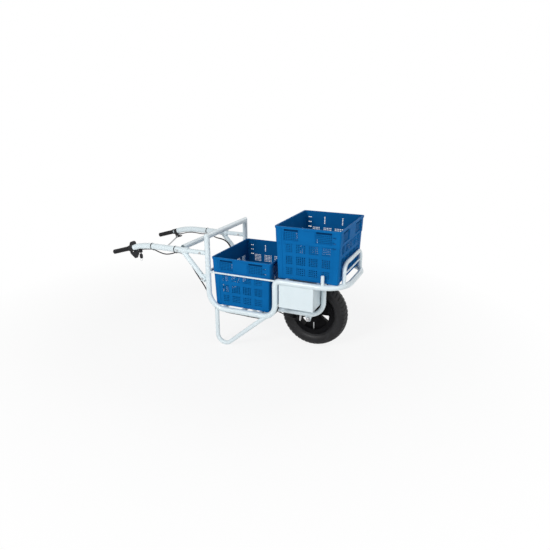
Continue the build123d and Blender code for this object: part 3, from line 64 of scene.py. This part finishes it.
# Set for every finish: the span of noise that counts, each noise's detail and roughness, coat and bump.
finishSet = {"noise": (0.3, 0.7), "broad": (4.0, 0.6), "fine": (3.0, 0.55), "coatRough": 0.12,
             "bumpDepth": 0.0006}


def mapRange(tree, source, span, low, high):
    # Maps the span of the source to low..high.
    node = addNode(tree, "ShaderNodeMapRange")
    for name, value in zip(("From Min", "From Max", "To Min", "To Max"), (*span, low, high)):
        node.inputs[name].default_value = value
    link(tree, source, node.inputs["Value"])
    return node.outputs["Result"]


def addNoise(tree, place, scale, detail, roughness):
    noise = addNode(tree, "ShaderNodeTexNoise", Scale=scale, Detail=detail, Roughness=roughness)
    link(tree, place, noise.inputs["Vector"])
    return noise.outputs["Fac"]


def mixColors(tree, share, start, end):
    # Blends the start colour, which may be a socket, to a fixed end colour.
    mix = addNode(tree, "ShaderNodeMix")
    mix.data_type = "RGBA"
    if isinstance(start, tuple):
        mix.inputs["A"].default_value = (*start, 1.0)
    else:
        link(tree, start, mix.inputs["A"])
    mix.inputs["B"].default_value = (*end, 1.0)
    link(tree, share, mix.inputs["Factor"])
    return mix.outputs["Result"]


def makeMaterial(name, look):
    # Base colour mottled by a broad noise, roughness and bump from a fine one.
    material = bpy.data.materials.new(name)
    material.use_nodes = True
    tree = material.node_tree
    tree.nodes.clear()
    out = addNode(tree, "ShaderNodeOutputMaterial")
    shader = addNode(tree, "ShaderNodeBsdfPrincipled")
    link(tree, shader.outputs["BSDF"], out.inputs["Surface"])
    place = addNode(tree, "ShaderNodeTexCoord").outputs["Object"]
    broad = addNoise(tree, place, look["broadScale"], *finishSet["broad"])
    fine = addNoise(tree, place, look["fineScale"], *finishSet["fine"])
    mottle = mapRange(tree, broad, finishSet["noise"], 0.0, look["mottle"])
    color = mixColors(tree, mottle, look["color"], look["shade"])
    if "recessShade" in look:
        # Painted shade in the recesses: the colour darkens towards the recess colour where the piece
        # carries a recess value from 0 to 1.
        depth = addNode(tree, "ShaderNodeAttribute")
        depth.attribute_name = "recessShade"
        color = mixColors(tree, depth.outputs["Fac"], color, look["recessShade"])
    link(tree, color, shader.inputs["Base Color"])
    link(tree, mapRange(tree, fine, finishSet["noise"], *look["rough"]), shader.inputs["Roughness"])
    shader.inputs["Metallic"].default_value = look.get("metal", 0.0)
    shader.inputs["Coat Weight"].default_value = look.get("coat", 0.0)
    shader.inputs["Coat Roughness"].default_value = finishSet["coatRough"]
    shader.inputs["Specular IOR Level"].default_value = look.get("specular", 0.5)
    bump = addNode(tree, "ShaderNodeBump", Strength=look["bump"], Distance=finishSet["bumpDepth"])
    link(tree, fine, bump.inputs["Height"])
    link(tree, bump.outputs["Normal"], shader.inputs["Normal"])
    return material


# A finish: its colour, the shade it mottles to and how far, roughness span, noise scales and bump.
looks = {
    "frame_paint": {"color": (0.77, 0.87, 0.91), "shade": (0.69, 0.79, 0.83), "mottle": 0.5,
                    "rough": (0.28, 0.42), "broadScale": 9.0, "fineScale": 420.0, "bump": 0.05,
                    "coat": 0.35},
    "zinc_plate": {"color": (0.60, 0.61, 0.62), "shade": (0.44, 0.45, 0.46), "mottle": 0.8,
                   "rough": (0.28, 0.48), "broadScale": 60.0, "fineScale": 900.0, "bump": 0.1,
                   "metal": 1.0},
    "axle_steel": {"color": (0.55, 0.55, 0.56), "shade": (0.40, 0.40, 0.41), "mottle": 0.7,
                   "rough": (0.25, 0.4), "broadScale": 60.0, "fineScale": 900.0, "bump": 0.08,
                   "metal": 1.0},
    "drum_iron": {"color": (0.24, 0.24, 0.25), "shade": (0.16, 0.15, 0.15), "mottle": 0.9,
                  "rough": (0.4, 0.6), "broadScale": 70.0, "fineScale": 700.0, "bump": 0.2,
                  "metal": 0.8},
    "stator_core": {"color": (0.40, 0.30, 0.20), "shade": (0.28, 0.22, 0.17), "mottle": 0.9,
                    "rough": (0.4, 0.6), "broadScale": 120.0, "fineScale": 700.0, "bump": 0.2,
                    "metal": 0.8},
    "magnet_plate": {"color": (0.58, 0.58, 0.60), "shade": (0.5, 0.5, 0.52), "mottle": 0.6,
                     "rough": (0.2, 0.35), "broadScale": 80.0, "fineScale": 700.0, "bump": 0.05,
                     "metal": 1.0},
    "wheel_paint": {"color": (0.004, 0.004, 0.005), "shade": (0.009, 0.009, 0.010), "mottle": 0.7,
                    "rough": (0.3, 0.5), "broadScale": 24.0, "fineScale": 500.0, "bump": 0.12,
                    "specular": 0.04},
    "grip_rubber": {"color": (0.012, 0.012, 0.014), "shade": (0.026, 0.026, 0.028), "mottle": 0.8,
                    "rough": (0.5, 0.75), "broadScale": 60.0, "fineScale": 800.0, "bump": 0.3,
                    "specular": 0.2},
    # The tyre's recess colour is painted shade in its tread grooves.
    "tyre_rubber": {"color": (0.007, 0.007, 0.008), "shade": (0.017, 0.017, 0.019), "mottle": 0.9,
                    "rough": (0.36, 0.52), "broadScale": 26.0, "fineScale": 600.0, "bump": 0.3,
                    "specular": 0.26, "recessShade": (0.001, 0.001, 0.001)},
    "black_plastic": {"color": (0.012, 0.012, 0.014), "shade": (0.022, 0.022, 0.025), "mottle": 0.7,
                      "rough": (0.35, 0.55), "broadScale": 80.0, "fineScale": 900.0, "bump": 0.15,
                      "specular": 0.22},
    "lever_alloy": {"color": (0.50, 0.51, 0.52), "shade": (0.38, 0.39, 0.40), "mottle": 0.7,
                    "rough": (0.3, 0.5), "broadScale": 70.0, "fineScale": 900.0, "bump": 0.1,
                    "metal": 1.0},
    "controller_alloy": {"color": (0.48, 0.49, 0.50), "shade": (0.38, 0.39, 0.40), "mottle": 0.7,
                         "rough": (0.35, 0.5), "broadScale": 70.0, "fineScale": 900.0, "bump": 0.1,
                         "metal": 1.0},
    # The crate's recess colour is painted shade inside the crate, in its blind cells and in its slots.
    "crate_plastic": {"color": (0.004, 0.145, 0.42), "shade": (0.003, 0.122, 0.36), "mottle": 0.6,
                      "rough": (0.42, 0.58), "broadScale": 12.0, "fineScale": 260.0, "bump": 0.08,
                      "specular": 0.025, "recessShade": (0.002, 0.045, 0.15)},
}
materials = {name: makeMaterial(name, look) for name, look in looks.items()}
for entry in frame["record"]["subparts"]:
    for place in nodes[entry["node"]].material_slots:
        place.material = materials[entry["material_slot"]]


def addPiece(name, points, faces, slotName, body, replaced, sharpAngle, recessShade):
    # A mesh of points and faces with its finish, the body it rides on and the node it replaces; each point
    # carries its share of painted shade as a recess value.
    mesh = bpy.data.meshes.new(name)
    mesh.from_pydata(points.tolist(), [], faces.tolist())
    paintedShade = mesh.attributes.new("recessShade", "FLOAT", "POINT")
    paintedShade.data.foreach_set("value", recessShade.astype(np.float32))
    mesh.shade_smooth()
    mesh.set_sharp_from_angle(angle=math.radians(sharpAngle))
    piece = bpy.data.objects.new(name, mesh)
    scene.collection.objects.link(piece)
    mesh.materials.append(materials[slotName])
    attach(piece, body)
    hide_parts(replaced)
    return piece


# A span is low, high, number of cells and the share of each cell that is bar, in metres from
# the wall's middle or the crate's foot.
crateShape = {"length": 0.370, "width": 0.465, "height": 0.295, "wall": 0.003, "thin": 0.002,
              "shrink": 0.0095, "lip": 0.006, "rim": 0.0085, "corner": 0.006, "cornerSteps": 6,
              "band": 0.003, "bandLow": 0.203, "lipLow": 0.283, "floorLow": 0.009, "floorTop": 0.013,
              "floorLap": 0.001, "floorCells": (30, 58), "slotEvery": (3, 2), "slotEdge": (2, 3),
              "plainMiddle": (5, 9), "footTop": 0.0012, "footLength": 0.04, "step": 0.0004,
              "border": 0.003, "borderOut": 0.0009, "backing": 0.0008, "panelIn": 0.0036,
              # Painted shade for the outer skin, the inner skin and the backing of blind cells.
              "paintedShade": (0.0, 0.32, 1.0), "sharp": 25,
              "sideRows": ((0.0264, 0.0694, 4, 0.44), (0.0864, 0.134, 5, 0.34), (0.154, 0.201, 5, 0.5)),
              "endRows": ((0.0264, 0.0694, 4, 0.2), (0.0864, 0.134, 5, 0.2), (0.154, 0.201, 5, 0.2)),
              "bandRows": ((0.2215, 0.2670, 5, 0.42),), "slotRows": ((0.2715, 0.2825, 1, 0.0),),
              "ventRows": ((0.195, 0.205, 1, 0.4), (0.224, 0.234, 1, 0.4), (0.253, 0.263, 1, 0.4)),
              "sideColumns": ((-0.121, -0.083, 4, 0.37), (-0.063, -0.010, 5, 0.37), (0.007, 0.058, 5, 0.37),
                              (0.079, 0.125, 5, 0.37)),
              "sidePanels": ((-0.1285, -0.052, 8, 0.40), (0.045, 0.1285, 8, 0.40)),
              "sideVents": ((0.130, 0.152, 2, 0.2),),
              "endColumns": ((-0.170, -0.122, 4, 0.14), (-0.100, -0.046, 4, 0.14), (-0.027, 0.027, 4, 0.14),
                             (0.046, 0.100, 4, 0.14), (0.122, 0.170, 4, 0.14)),
              "endPanels": ((-0.172, -0.064, 10, 0.30), (0.064, 0.172, 10, 0.30)),
              "endVents": ((0.176, 0.198, 2, 0.2),),
              "sidePost": 0.1405, "endPost": 0.1745, "postOut": 0.0022, "plateOut": 0.0016,
              "sidePlates": ((-0.044, 0.037, 1, 0.0),), "endPlates": ((-0.055, 0.055, 1, 0.0),)}
cornerPlace = 9.0  # the place given to a corner's columns, off every wall


def spanLines(spans, edge, step):
    # Line places across a wall: both edges of each cell, and a close pair of lines at each border.
    lines = []
    for low, high, count, bar in spans:
        pitch = (high - low) / count
        starts = low + pitch * (np.arange(count) + bar / 2)
        lines += [starts, starts + pitch * (1 - bar)]
        if edge:
            lines.append(np.array([low - edge, low - edge + step, high + edge - step, high + edge]))
    return np.concatenate(lines)


def inSpans(values, spans, edge):
    # True where a value lies in one of the spans, grown by the edge.
    inside = np.zeros(values.shape, bool)
    for low, high, *cells in spans:
        inside |= (values > low - edge) & (values < high + edge)
    return inside


def inCells(values, spans, endsOnly=False):
    # True where a value lies in an open cell of a span; endsOnly keeps the cell nearest the wall's middle.
    inside = np.zeros(values.shape, bool)
    for low, high, count, bar in spans:
        share = (values - low) / (high - low) * count
        cell = (share > 0) & (share < count)
        cell &= np.abs(np.mod(share, 1.0) - 0.5) < (1 - bar) / 2
        if endsOnly:
            cell &= np.floor(share) == (count - 1 if low + high < 0 else 0)
        inside |= cell
    return inside


def wallColumns(shape, halfX, halfY):
    # Upright lines round the crate, wall by wall with a rounded corner after each. Each line has
    # its corner weights, its normal, its place along the wall and 1 on an end wall.
    corner = shape["corner"]
    reach = (halfX - shape["shrink"] - corner, halfY - shape["shrink"] - corner)
    turn = np.linspace(0, math.pi / 2, shape["cornerSteps"])[1:-1]
    parts = []
    for side, normal in enumerate(((0, -1), (1, 0), (0, 1), (-1, 0))):
        end = side % 2
        kind = "end" if end else "side"
        lines = [spanLines(shape[kind + "Columns"], shape["border"], shape["step"]),
                 spanLines(shape[kind + "Panels"], shape["border"], shape["step"]),
                 spanLines(shape[kind + "Vents"], 0, 0),
                 spanLines(shape[kind + "Plates"], shape["step"], shape["step"]),
                 np.outer((-1, 1), (shape[kind + "Post"], shape[kind + "Post"] + shape["step"])).ravel(),
                 np.outer((-1, 1), (reach[end] - shape["footLength"], reach[end])).ravel()]
        lines = np.unique(np.round(np.concatenate(lines), 5))
        lines = lines[np.abs(lines) <= reach[end] + 1e-6]
        flip = 1 if side < 2 else -1
        ones = np.ones_like(lines)
        along = lines / reach[end] * flip
        flat = [ones * normal[0] if end else along, along if end else ones * normal[1],
                ones * normal[0], ones * normal[1], lines, ones * end]
        after = (-normal[1], normal[0])
        angle = math.atan2(normal[1], normal[0]) + turn
        ones = np.ones_like(turn)
        bend = [ones * (normal[0] + after[0]), ones * (normal[1] + after[1]), np.cos(angle), np.sin(angle),
                ones * cornerPlace, ones * end]
        parts += [np.stack(flat), np.stack(bend)]
    return np.concatenate(parts, axis=1)[:, :, None], reach


def edgeQuads(solid, other, upper, lower):
    # Cell side faces wherever a solid cell meets one of the other kind, round the wall and up it.
    quads = []
    strip = np.stack([upper[:, :-1], upper[:, 1:], lower[:, 1:], lower[:, :-1]], -1)
    quads += [strip[solid & np.roll(other, 1, axis=0)], strip[other & np.roll(solid, 1, axis=0)][:, ::-1]]
    flat = np.stack([upper, lower, np.roll(lower, -1, axis=0), np.roll(upper, -1, axis=0)], -1)
    rise = np.pad(solid, ((0, 0), (1, 1)))
    gap = np.pad(other, ((0, 0), (1, 1)))
    quads += [flat[rise[:, 1:] & gap[:, :-1]], flat[rise[:, :-1] & gap[:, 1:]][:, ::-1]]
    return quads


def skinQuads(ids, mask):
    # One face for each grid cell where the mask holds, closed round the crate.
    after = np.roll(ids, -1, axis=0)
    return np.stack([ids[:, :-1], after[:, :-1], after[:, 1:], ids[:, 1:]], -1)[mask]


def crateWalls(shape):
    # Point = corner weight * (half size - corner) + normal * (corner + growth), for each column and height.
    halfX = shape["length"] / 2 - shape["lip"]
    halfY = shape["width"] / 2 - shape["lip"]
    step = shape["step"]
    (wx, wy, nx, ny, place, end), reach = wallColumns(shape, halfX, halfY)
    levels = [0, shape["footTop"], shape["bandLow"], shape["bandLow"] + step, shape["lipLow"],
              shape["lipLow"] + step, shape["height"]]
    bordered = [spanLines(shape[rows], shape["border"], step) for rows in ("sideRows", "bandRows")]
    plain = [spanLines(shape[rows], 0, 0) for rows in ("endRows", "slotRows", "ventRows")]
    z = np.unique(np.round(np.concatenate(bordered + plain + [levels]), 5))[None, :]
    edge = shape["border"] - step / 2

    def onWall(values, kind, test, **extra):
        onEnd = test(values, shape["end" + kind], **extra)
        return np.where(end == 1, onEnd, test(values, shape["side" + kind], **extra))

    window = onWall(place, "Columns", inSpans, edge=edge) & inSpans(z, shape["sideRows"], edge)
    panel = onWall(place, "Panels", inSpans, edge=edge) & inSpans(z, shape["bandRows"], edge)
    growth = np.where(z > shape["lipLow"] + step / 2, shape["rim"],
                      np.where(z > shape["bandLow"] + step / 2, shape["band"], 0.0))
    growth = growth + shape["borderOut"] * window - shape["panelIn"] * panel
    # Corner posts and the plates between the panels stand proud, up to the lip.
    underLip = z < shape["lipLow"] + step / 2
    post = np.abs(place) > np.where(end == 1, shape["endPost"], shape["sidePost"]) + step / 2
    plate = onWall(place, "Plates", inSpans, edge=step / 2) & (z > shape["bandRows"][0][0] - edge)
    growth = growth + underLip * (shape["postOut"] * post + shape["plateOut"] * plate)
    inset = shape["shrink"] * (1 - z / shape["height"])

    def skin(grow):
        x = wx * (halfX - inset - shape["corner"]) + nx * (shape["corner"] + grow)
        y = wy * (halfY - inset - shape["corner"]) + ny * (shape["corner"] + grow)
        return np.stack([x, y, np.broadcast_to(z, x.shape)], axis=-1)

    wall = np.where((end == 1) & (place < cornerPlace), shape["thin"], shape["wall"]) + 0 * growth
    skins = [skin(growth), skin(-wall), skin(shape["backing"] - wall)]
    after = np.roll(place, -1, axis=0)
    midPlace = np.where((place < cornerPlace) & (after < cornerPlace), (place + after) / 2, cornerPlace)
    midZ = (z[:, 1:] + z[:, :-1]) / 2
    panelX = onWall(midPlace, "Panels", inCells)
    openX = onWall(midPlace, "Panels", inCells, endsOnly=True)
    bandZ = inCells(midZ, shape["bandRows"])
    hole = onWall(midPlace, "Columns", inCells) & onWall(midZ, "Rows", inCells)
    hole |= openX & bandZ & (end == 0)
    hole |= onWall(midPlace, "Vents", inCells) & inCells(midZ, shape["ventRows"])
    betweenFeet = np.abs(midPlace) < np.where(end == 1, reach[1], reach[0]) - shape["footLength"]
    hole |= betweenFeet & (midZ < shape["footTop"])
    blind = panelX & bandZ & ~hole
    blind |= onWall(midPlace, "Panels", inSpans, edge=0.0) & inCells(midZ, shape["slotRows"])
    solid = ~hole & ~blind
    ids = np.arange(growth.size).reshape(growth.shape)
    inner = ids + growth.size
    back = inner + growth.size
    quads = [skinQuads(ids, solid), skinQuads(inner, ~hole)[:, ::-1], skinQuads(back, blind)]
    quads += edgeQuads(solid, hole, ids, inner) + edgeQuads(solid, blind, ids, back)
    rim = np.stack([ids[:, -1], np.roll(ids[:, -1], -1), np.roll(inner[:, -1], -1), inner[:, -1]], -1)
    foot = np.stack([ids[:, 0], inner[:, 0], np.roll(inner[:, 0], -1), np.roll(ids[:, 0], -1)], -1)
    foot = foot[solid[:, 0]]
    points = np.concatenate([layer.reshape(-1, 3) for layer in skins])
    # Painted shade: none on the outer skin, some on the inner skin, full on the backing of blind cells.
    recessShade = np.repeat(shape["paintedShade"], growth.size)
    return points, np.concatenate(quads + [rim, foot]), recessShade


def crateFloor(shape):
    # A plate of two skins on a grid, with rows of drain slots round a plain middle.
    inset = shape["lip"] + shape["shrink"] + shape["wall"] - shape["floorLap"]
    countX, countY = shape["floorCells"]
    lineX = np.linspace(-1, 1, countX + 1) * (shape["length"] / 2 - inset)
    lineY = np.linspace(-1, 1, countY + 1) * (shape["width"] / 2 - inset)
    x, y = np.meshgrid(lineX, lineY, indexing="ij")
    cellX = np.arange(countX)[:, None]
    cellY = np.arange(countY)[None, :]
    slots = (cellX % shape["slotEvery"][0] == 1) & (cellY % shape["slotEvery"][1] == 1)
    for cell, count, edge in zip((cellX, cellY), shape["floorCells"], shape["slotEdge"]):
        slots &= (cell >= edge) & (cell < count - edge)
    middle = np.abs(cellX - (countX - 1) / 2) < shape["plainMiddle"][0]
    middle = middle & (np.abs(cellY - (countY - 1) / 2) < shape["plainMiddle"][1])
    plate = ~(slots & ~middle)
    top = np.stack([x, y, np.full_like(x, shape["floorTop"])], -1)
    low = np.stack([x, y, np.full_like(x, shape["floorLow"])], -1)
    topId = np.arange(x.size).reshape(x.shape)
    lowId = topId + x.size
    quads = [np.stack([topId[:-1, :-1], topId[1:, :-1], topId[1:, 1:], topId[:-1, 1:]], -1)[plate],
             np.stack([lowId[:-1, :-1], lowId[:-1, 1:], lowId[1:, 1:], lowId[1:, :-1]], -1)[plate]]
    openX = np.pad(plate, ((1, 1), (0, 0)))
    sideX = np.stack([topId[:, :-1], topId[:, 1:], lowId[:, 1:], lowId[:, :-1]], -1)
    quads += [sideX[openX[:-1] & ~openX[1:]], sideX[openX[1:] & ~openX[:-1]][:, ::-1]]
    openY = np.pad(plate, ((0, 0), (1, 1)))
    sideY = np.stack([topId[:-1, :], topId[1:, :], lowId[1:, :], lowId[:-1, :]], -1)
    quads += [sideY[openY[:, 1:] & ~openY[:, :-1]], sideY[openY[:, :-1] & ~openY[:, 1:]][:, ::-1]]
    return np.concatenate([top.reshape(-1, 3), low.reshape(-1, 3)]), np.concatenate(quads)


def buildCrate(name, shape, centre, body, replaced):
    # Walls and floor in one mesh at the centre, without the points that no face uses.
    wallPoints, wallFaces, recessShade = crateWalls(shape)
    floorPoints, floorFaces = crateFloor(shape)
    points = np.concatenate([wallPoints, floorPoints])
    faces = np.concatenate([wallFaces, floorFaces + len(wallPoints)])
    # The crate floor takes the inner skin's painted shade.
    recessShade = np.concatenate([recessShade, np.full(len(floorPoints), shape["paintedShade"][1])])
    used, faces = np.unique(faces, return_inverse=True)
    points = points[used] + np.array(centre)
    faces = faces.reshape(-1, 4)
    return addPiece(name, points, faces, "crate_plastic", body, replaced, shape["sharp"], recessShade[used])


def crateCentre(node):
    # Middle of the node's box, at its foot.
    low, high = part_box(node)
    return ((low.x + high.x) / 2, (low.y + high.y) / 2, low.z)


for which in ("front", "rear"):
    node = which + "_crate"
    crate = buildCrate(node + "_moulded", crateShape, crateCentre(node), node + "_body", node)
    print("stage:", which, "crate,", len(crate.data.polygons), "faces")

tyreShape = {"seat": 0.1131, "bead": 0.0289, "flange": 0.128, "belly": 0.16055, "half": 0.048,
             "shoulder": 0.190, "shoulderHalf": 0.0403, "crown": 0.200, "depth": 0.0022, "lugs": 48,
             "turns": 864, "slant": 0.55, "rib": 0.007, "ribWave": 0.35, "ribEdge": 0.0012,
             "lugEdge": (0.14, 0.2), "groove": (0.004, 0.0018, 0.0032), "treadFrom": (0.178, 0.186),
             "line": (0.136, 0.0007, 0.002), "ring": (0.172, 0.0009, 0.0008, 0.0022),
             "marked": (0.13, 0.18), "wallSteps": 26, "crownSteps": 56, "sharp": 50}


def arcThrough(start, middle, end, count):
    # Points of the circle through three points, evenly spread by angle from start to end.
    (ax, ay), (bx, by), (cx, cy) = start, middle, end
    d = 2 * (ax * (by - cy) + bx * (cy - ay) + cx * (ay - by))
    ux = ((ax**2 + ay**2) * (by - cy) + (bx**2 + by**2) * (cy - ay) + (cx**2 + cy**2) * (ay - by)) / d
    uy = ((ax**2 + ay**2) * (cx - bx) + (bx**2 + by**2) * (ax - cx) + (cx**2 + cy**2) * (bx - ax)) / d
    angles = np.unwrap(np.arctan2([ay - uy, by - uy, cy - uy], [ax - ux, bx - ux, cx - ux]))
    sweep = np.linspace(angles[0], angles[2], count)
    radius = math.hypot(ax - ux, ay - uy)
    return np.stack([ux + radius * np.cos(sweep), uy + radius * np.sin(sweep)], -1)


def smooth(value, low, high):
    # Eases from 0 at low to 1 at high.
    t = np.clip((value - low) / (high - low), 0, 1)
    return t * t * (3 - 2 * t)


def buildTyre(shape):
    # Section of radius and side carried round the axle. Slanted grooves and a wavy rib push the tread
    # in along its normal, fading out below the shoulder, and two rings mark the side wall.
    low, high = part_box("tyre")
    centre = np.array([(low.x + high.x) / 2, (low.y + high.y) / 2, (low.z + high.z) / 2])
    wallLeft = arcThrough((shape["flange"], -shape["bead"]), (shape["belly"], -shape["half"]),
                          (shape["shoulder"], -shape["shoulderHalf"]), shape["wallSteps"])
    crown = arcThrough((shape["shoulder"], -shape["shoulderHalf"]), (shape["crown"], 0),
                       (shape["shoulder"], shape["shoulderHalf"]), shape["crownSteps"])
    wallRight = wallLeft[::-1] * [1, -1]
    seat = shape["seat"]
    section = np.concatenate([[[seat, 0.0], [seat, -shape["bead"]]], wallLeft, crown[1:-1], wallRight,
                              [[seat, shape["bead"]]]])
    radius = section[:, 0][:, None]
    side = section[:, 1][:, None]
    angle = np.linspace(0, 2 * math.pi, shape["turns"], endpoint=False)[None, :]
    share = side / shape["shoulderHalf"]
    turned = angle * shape["lugs"] / (2 * math.pi) + np.where(side > 0, 0.5, 0.0)
    phase = np.mod(turned + shape["slant"] * np.abs(share), 1.0)
    lug = smooth(np.abs(phase - 0.5), *shape["lugEdge"])
    wave = shape["rib"] * (1 + shape["ribWave"] * np.sin(angle * shape["lugs"]))
    middle = 1 - smooth(np.abs(side), wave - shape["ribEdge"], wave + shape["ribEdge"])
    away, narrow, wide = shape["groove"]
    groove = smooth(np.abs(np.abs(side) - wave - away), narrow, wide)
    tread = smooth(radius, *shape["treadFrom"])
    cut = tread * shape["depth"] * (1 - np.minimum(np.maximum(lug, middle), groove))
    place, deep, wide = shape["line"]
    rings = deep * (smooth(np.abs(radius - place), 0.0, wide) - 1)
    place, high, narrow, wide = shape["ring"]
    rings = rings + high * (1 - smooth(np.abs(radius - place), narrow, wide))
    rings = np.where((radius > shape["marked"][0]) & (radius < shape["marked"][1]), rings, 0.0)
    normalR = np.gradient(section[:, 1])
    normalS = -np.gradient(section[:, 0])
    size = np.hypot(normalR, normalS)
    push = rings - cut
    r = radius + push * (normalR / size)[:, None]
    s = side + push * (normalS / size)[:, None]
    points = np.stack([r * np.cos(angle), s + 0 * angle, r * np.sin(angle)], -1) + centre
    count, turns = points.shape[:2]
    ids = np.arange(count * turns).reshape(count, turns)
    up = np.roll(ids, -1, axis=0)
    quads = np.stack([ids, np.roll(ids, -1, axis=1), np.roll(up, -1, axis=1), up], -1).reshape(-1, 4)
    # Painted shade in the tread grooves, stronger where the cut is deeper.
    grooveShade = np.ravel(cut / shape["depth"])
    points = points.reshape(-1, 3)
    return addPiece("tyre_tread", points, quads, "tyre_rubber", "wheel", "tyre", shape["sharp"], grooveShade)


tyrePiece = buildTyre(tyreShape)
print("stage: tyre,", len(tyrePiece.data.polygons), "faces")

floorSet = {"reach": 30.0, "color": (0.90, 0.90, 0.90, 1.0), "near": 0.84, "clear": (0.9, 2.0)}
floorMesh = bpy.data.meshes.new("floor")
reach = floorSet["reach"]
corners = [(-reach, -reach, 0), (reach, -reach, 0), (reach, reach, 0), (-reach, reach, 0)]
floorMesh.from_pydata(corners, [], [(0, 1, 2, 3)])
floor = bpy.data.objects.new("floor", floorMesh)
scene.collection.objects.link(floor)
floorMaterial = bpy.data.materials.new("floor")
floorMaterial.use_nodes = True
floorMesh.materials.append(floorMaterial)


def seenRays(tree):
    # 1 for rays of the camera and of gloss and glass, 0 for the light that falls on the object.
    path = addNode(tree, "ShaderNodeLightPath")
    total = path.outputs["Is Camera Ray"]
    for kind in ("Is Glossy Ray", "Is Transmission Ray"):
        add = addNode(tree, "ShaderNodeMath")
        add.operation = "MAXIMUM"
        link(tree, total, add.inputs[0])
        link(tree, path.outputs[kind], add.inputs[1])
        total = add.outputs["Value"]
    return total


# The floor is matt and takes the shadow; the eye sees it whiter, and plain white away from the object.
tree = floorMaterial.node_tree
tree.nodes.clear()
floorOut = addNode(tree, "ShaderNodeOutputMaterial")
matt = addNode(tree, "ShaderNodeBsdfDiffuse", Color=floorSet["color"])
white = addNode(tree, "ShaderNodeEmission", Color=(1.0, 1.0, 1.0, 1.0), Strength=1.0)
far = addNode(tree, "ShaderNodeVectorMath")
far.operation = "LENGTH"
link(tree, addNode(tree, "ShaderNodeTexCoord").outputs["Object"], far.inputs[0])
fade = mapRange(tree, far.outputs["Value"], floorSet["clear"], floorSet["near"], 1.0)
share = addNode(tree, "ShaderNodeMath")
share.operation = "MULTIPLY"
link(tree, seenRays(tree), share.inputs[0])
link(tree, fade, share.inputs[1])
choose = addNode(tree, "ShaderNodeMixShader")
link(tree, share.outputs["Value"], choose.inputs["Fac"])
link(tree, matt.outputs["BSDF"], choose.inputs[1])
link(tree, white.outputs["Emission"], choose.inputs[2])
link(tree, choose.outputs["Shader"], floorOut.inputs["Surface"])

lightSet = {"sky": 0.34, "aim": (0.25, 0.0, 0.38), "lamps": (
    {"name": "key", "place": (-0.7, -4.1, 2.6), "size": 1.6, "power": 100.0},
    {"name": "fill", "place": (3.4, -1.6, 1.6), "size": 2.6, "power": 30.0},
    {"name": "back", "place": (0.6, 3.2, 2.8), "size": 2.4, "power": 24.0})}
world = bpy.data.worlds.new("studio")
scene.world = world
world.use_nodes = True
tree = world.node_tree
tree.nodes.clear()
worldOut = addNode(tree, "ShaderNodeOutputWorld")
seen = addNode(tree, "ShaderNodeBackground", Color=(1.0, 1.0, 1.0, 1.0), Strength=1.0)
light = addNode(tree, "ShaderNodeBackground", Color=(1.0, 1.0, 1.0, 1.0), Strength=lightSet["sky"])
choose = addNode(tree, "ShaderNodeMixShader")
link(tree, seenRays(tree), choose.inputs["Fac"])
link(tree, light.outputs["Background"], choose.inputs[1])
link(tree, seen.outputs["Background"], choose.inputs[2])
link(tree, choose.outputs["Shader"], worldOut.inputs["Surface"])
for lamp in lightSet["lamps"]:
    data = bpy.data.lights.new(lamp["name"], "AREA")
    data.shape = "DISK"
    data.size = lamp["size"]
    data.energy = lamp["power"]
    lampObject = bpy.data.objects.new(lamp["name"], data)
    scene.collection.objects.link(lampObject)
    lampObject.location = lamp["place"]
    away = np.array(lamp["place"]) - np.array(lightSet["aim"])
    turn = math.atan2(away[0], -away[1])
    lampObject.rotation_euler = (math.atan2(math.hypot(away[0], away[1]), away[2]), 0.0, turn)

cameraSet = {"azimuth": 23.62, "elevation": 18.55, "distance": 3.0646, "behindAxle": 0.2602,
             "height": 0.3965, "lens": 33.2, "sensor": 36.0}
axleLow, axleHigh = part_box("axle")
target = np.array([(axleLow.x + axleHigh.x) / 2 - cameraSet["behindAxle"], 0.0, cameraSet["height"]])
cameraData = bpy.data.cameras.new("camera")
cameraData.sensor_width = cameraSet["sensor"]
cameraData.lens = cameraSet["lens"]
camera = bpy.data.objects.new("camera", cameraData)
scene.collection.objects.link(camera)
scene.camera = camera
az = math.radians(cameraSet["azimuth"])
el = math.radians(cameraSet["elevation"])
back = np.array([math.sin(az) * math.cos(el), -math.cos(az) * math.cos(el), math.sin(el)])
camera.location = target + cameraSet["distance"] * back
camera.rotation_euler = (math.pi / 2 - el, 0.0, az)
scene.view_settings.view_transform = "Standard"
print("stage: camera and light")
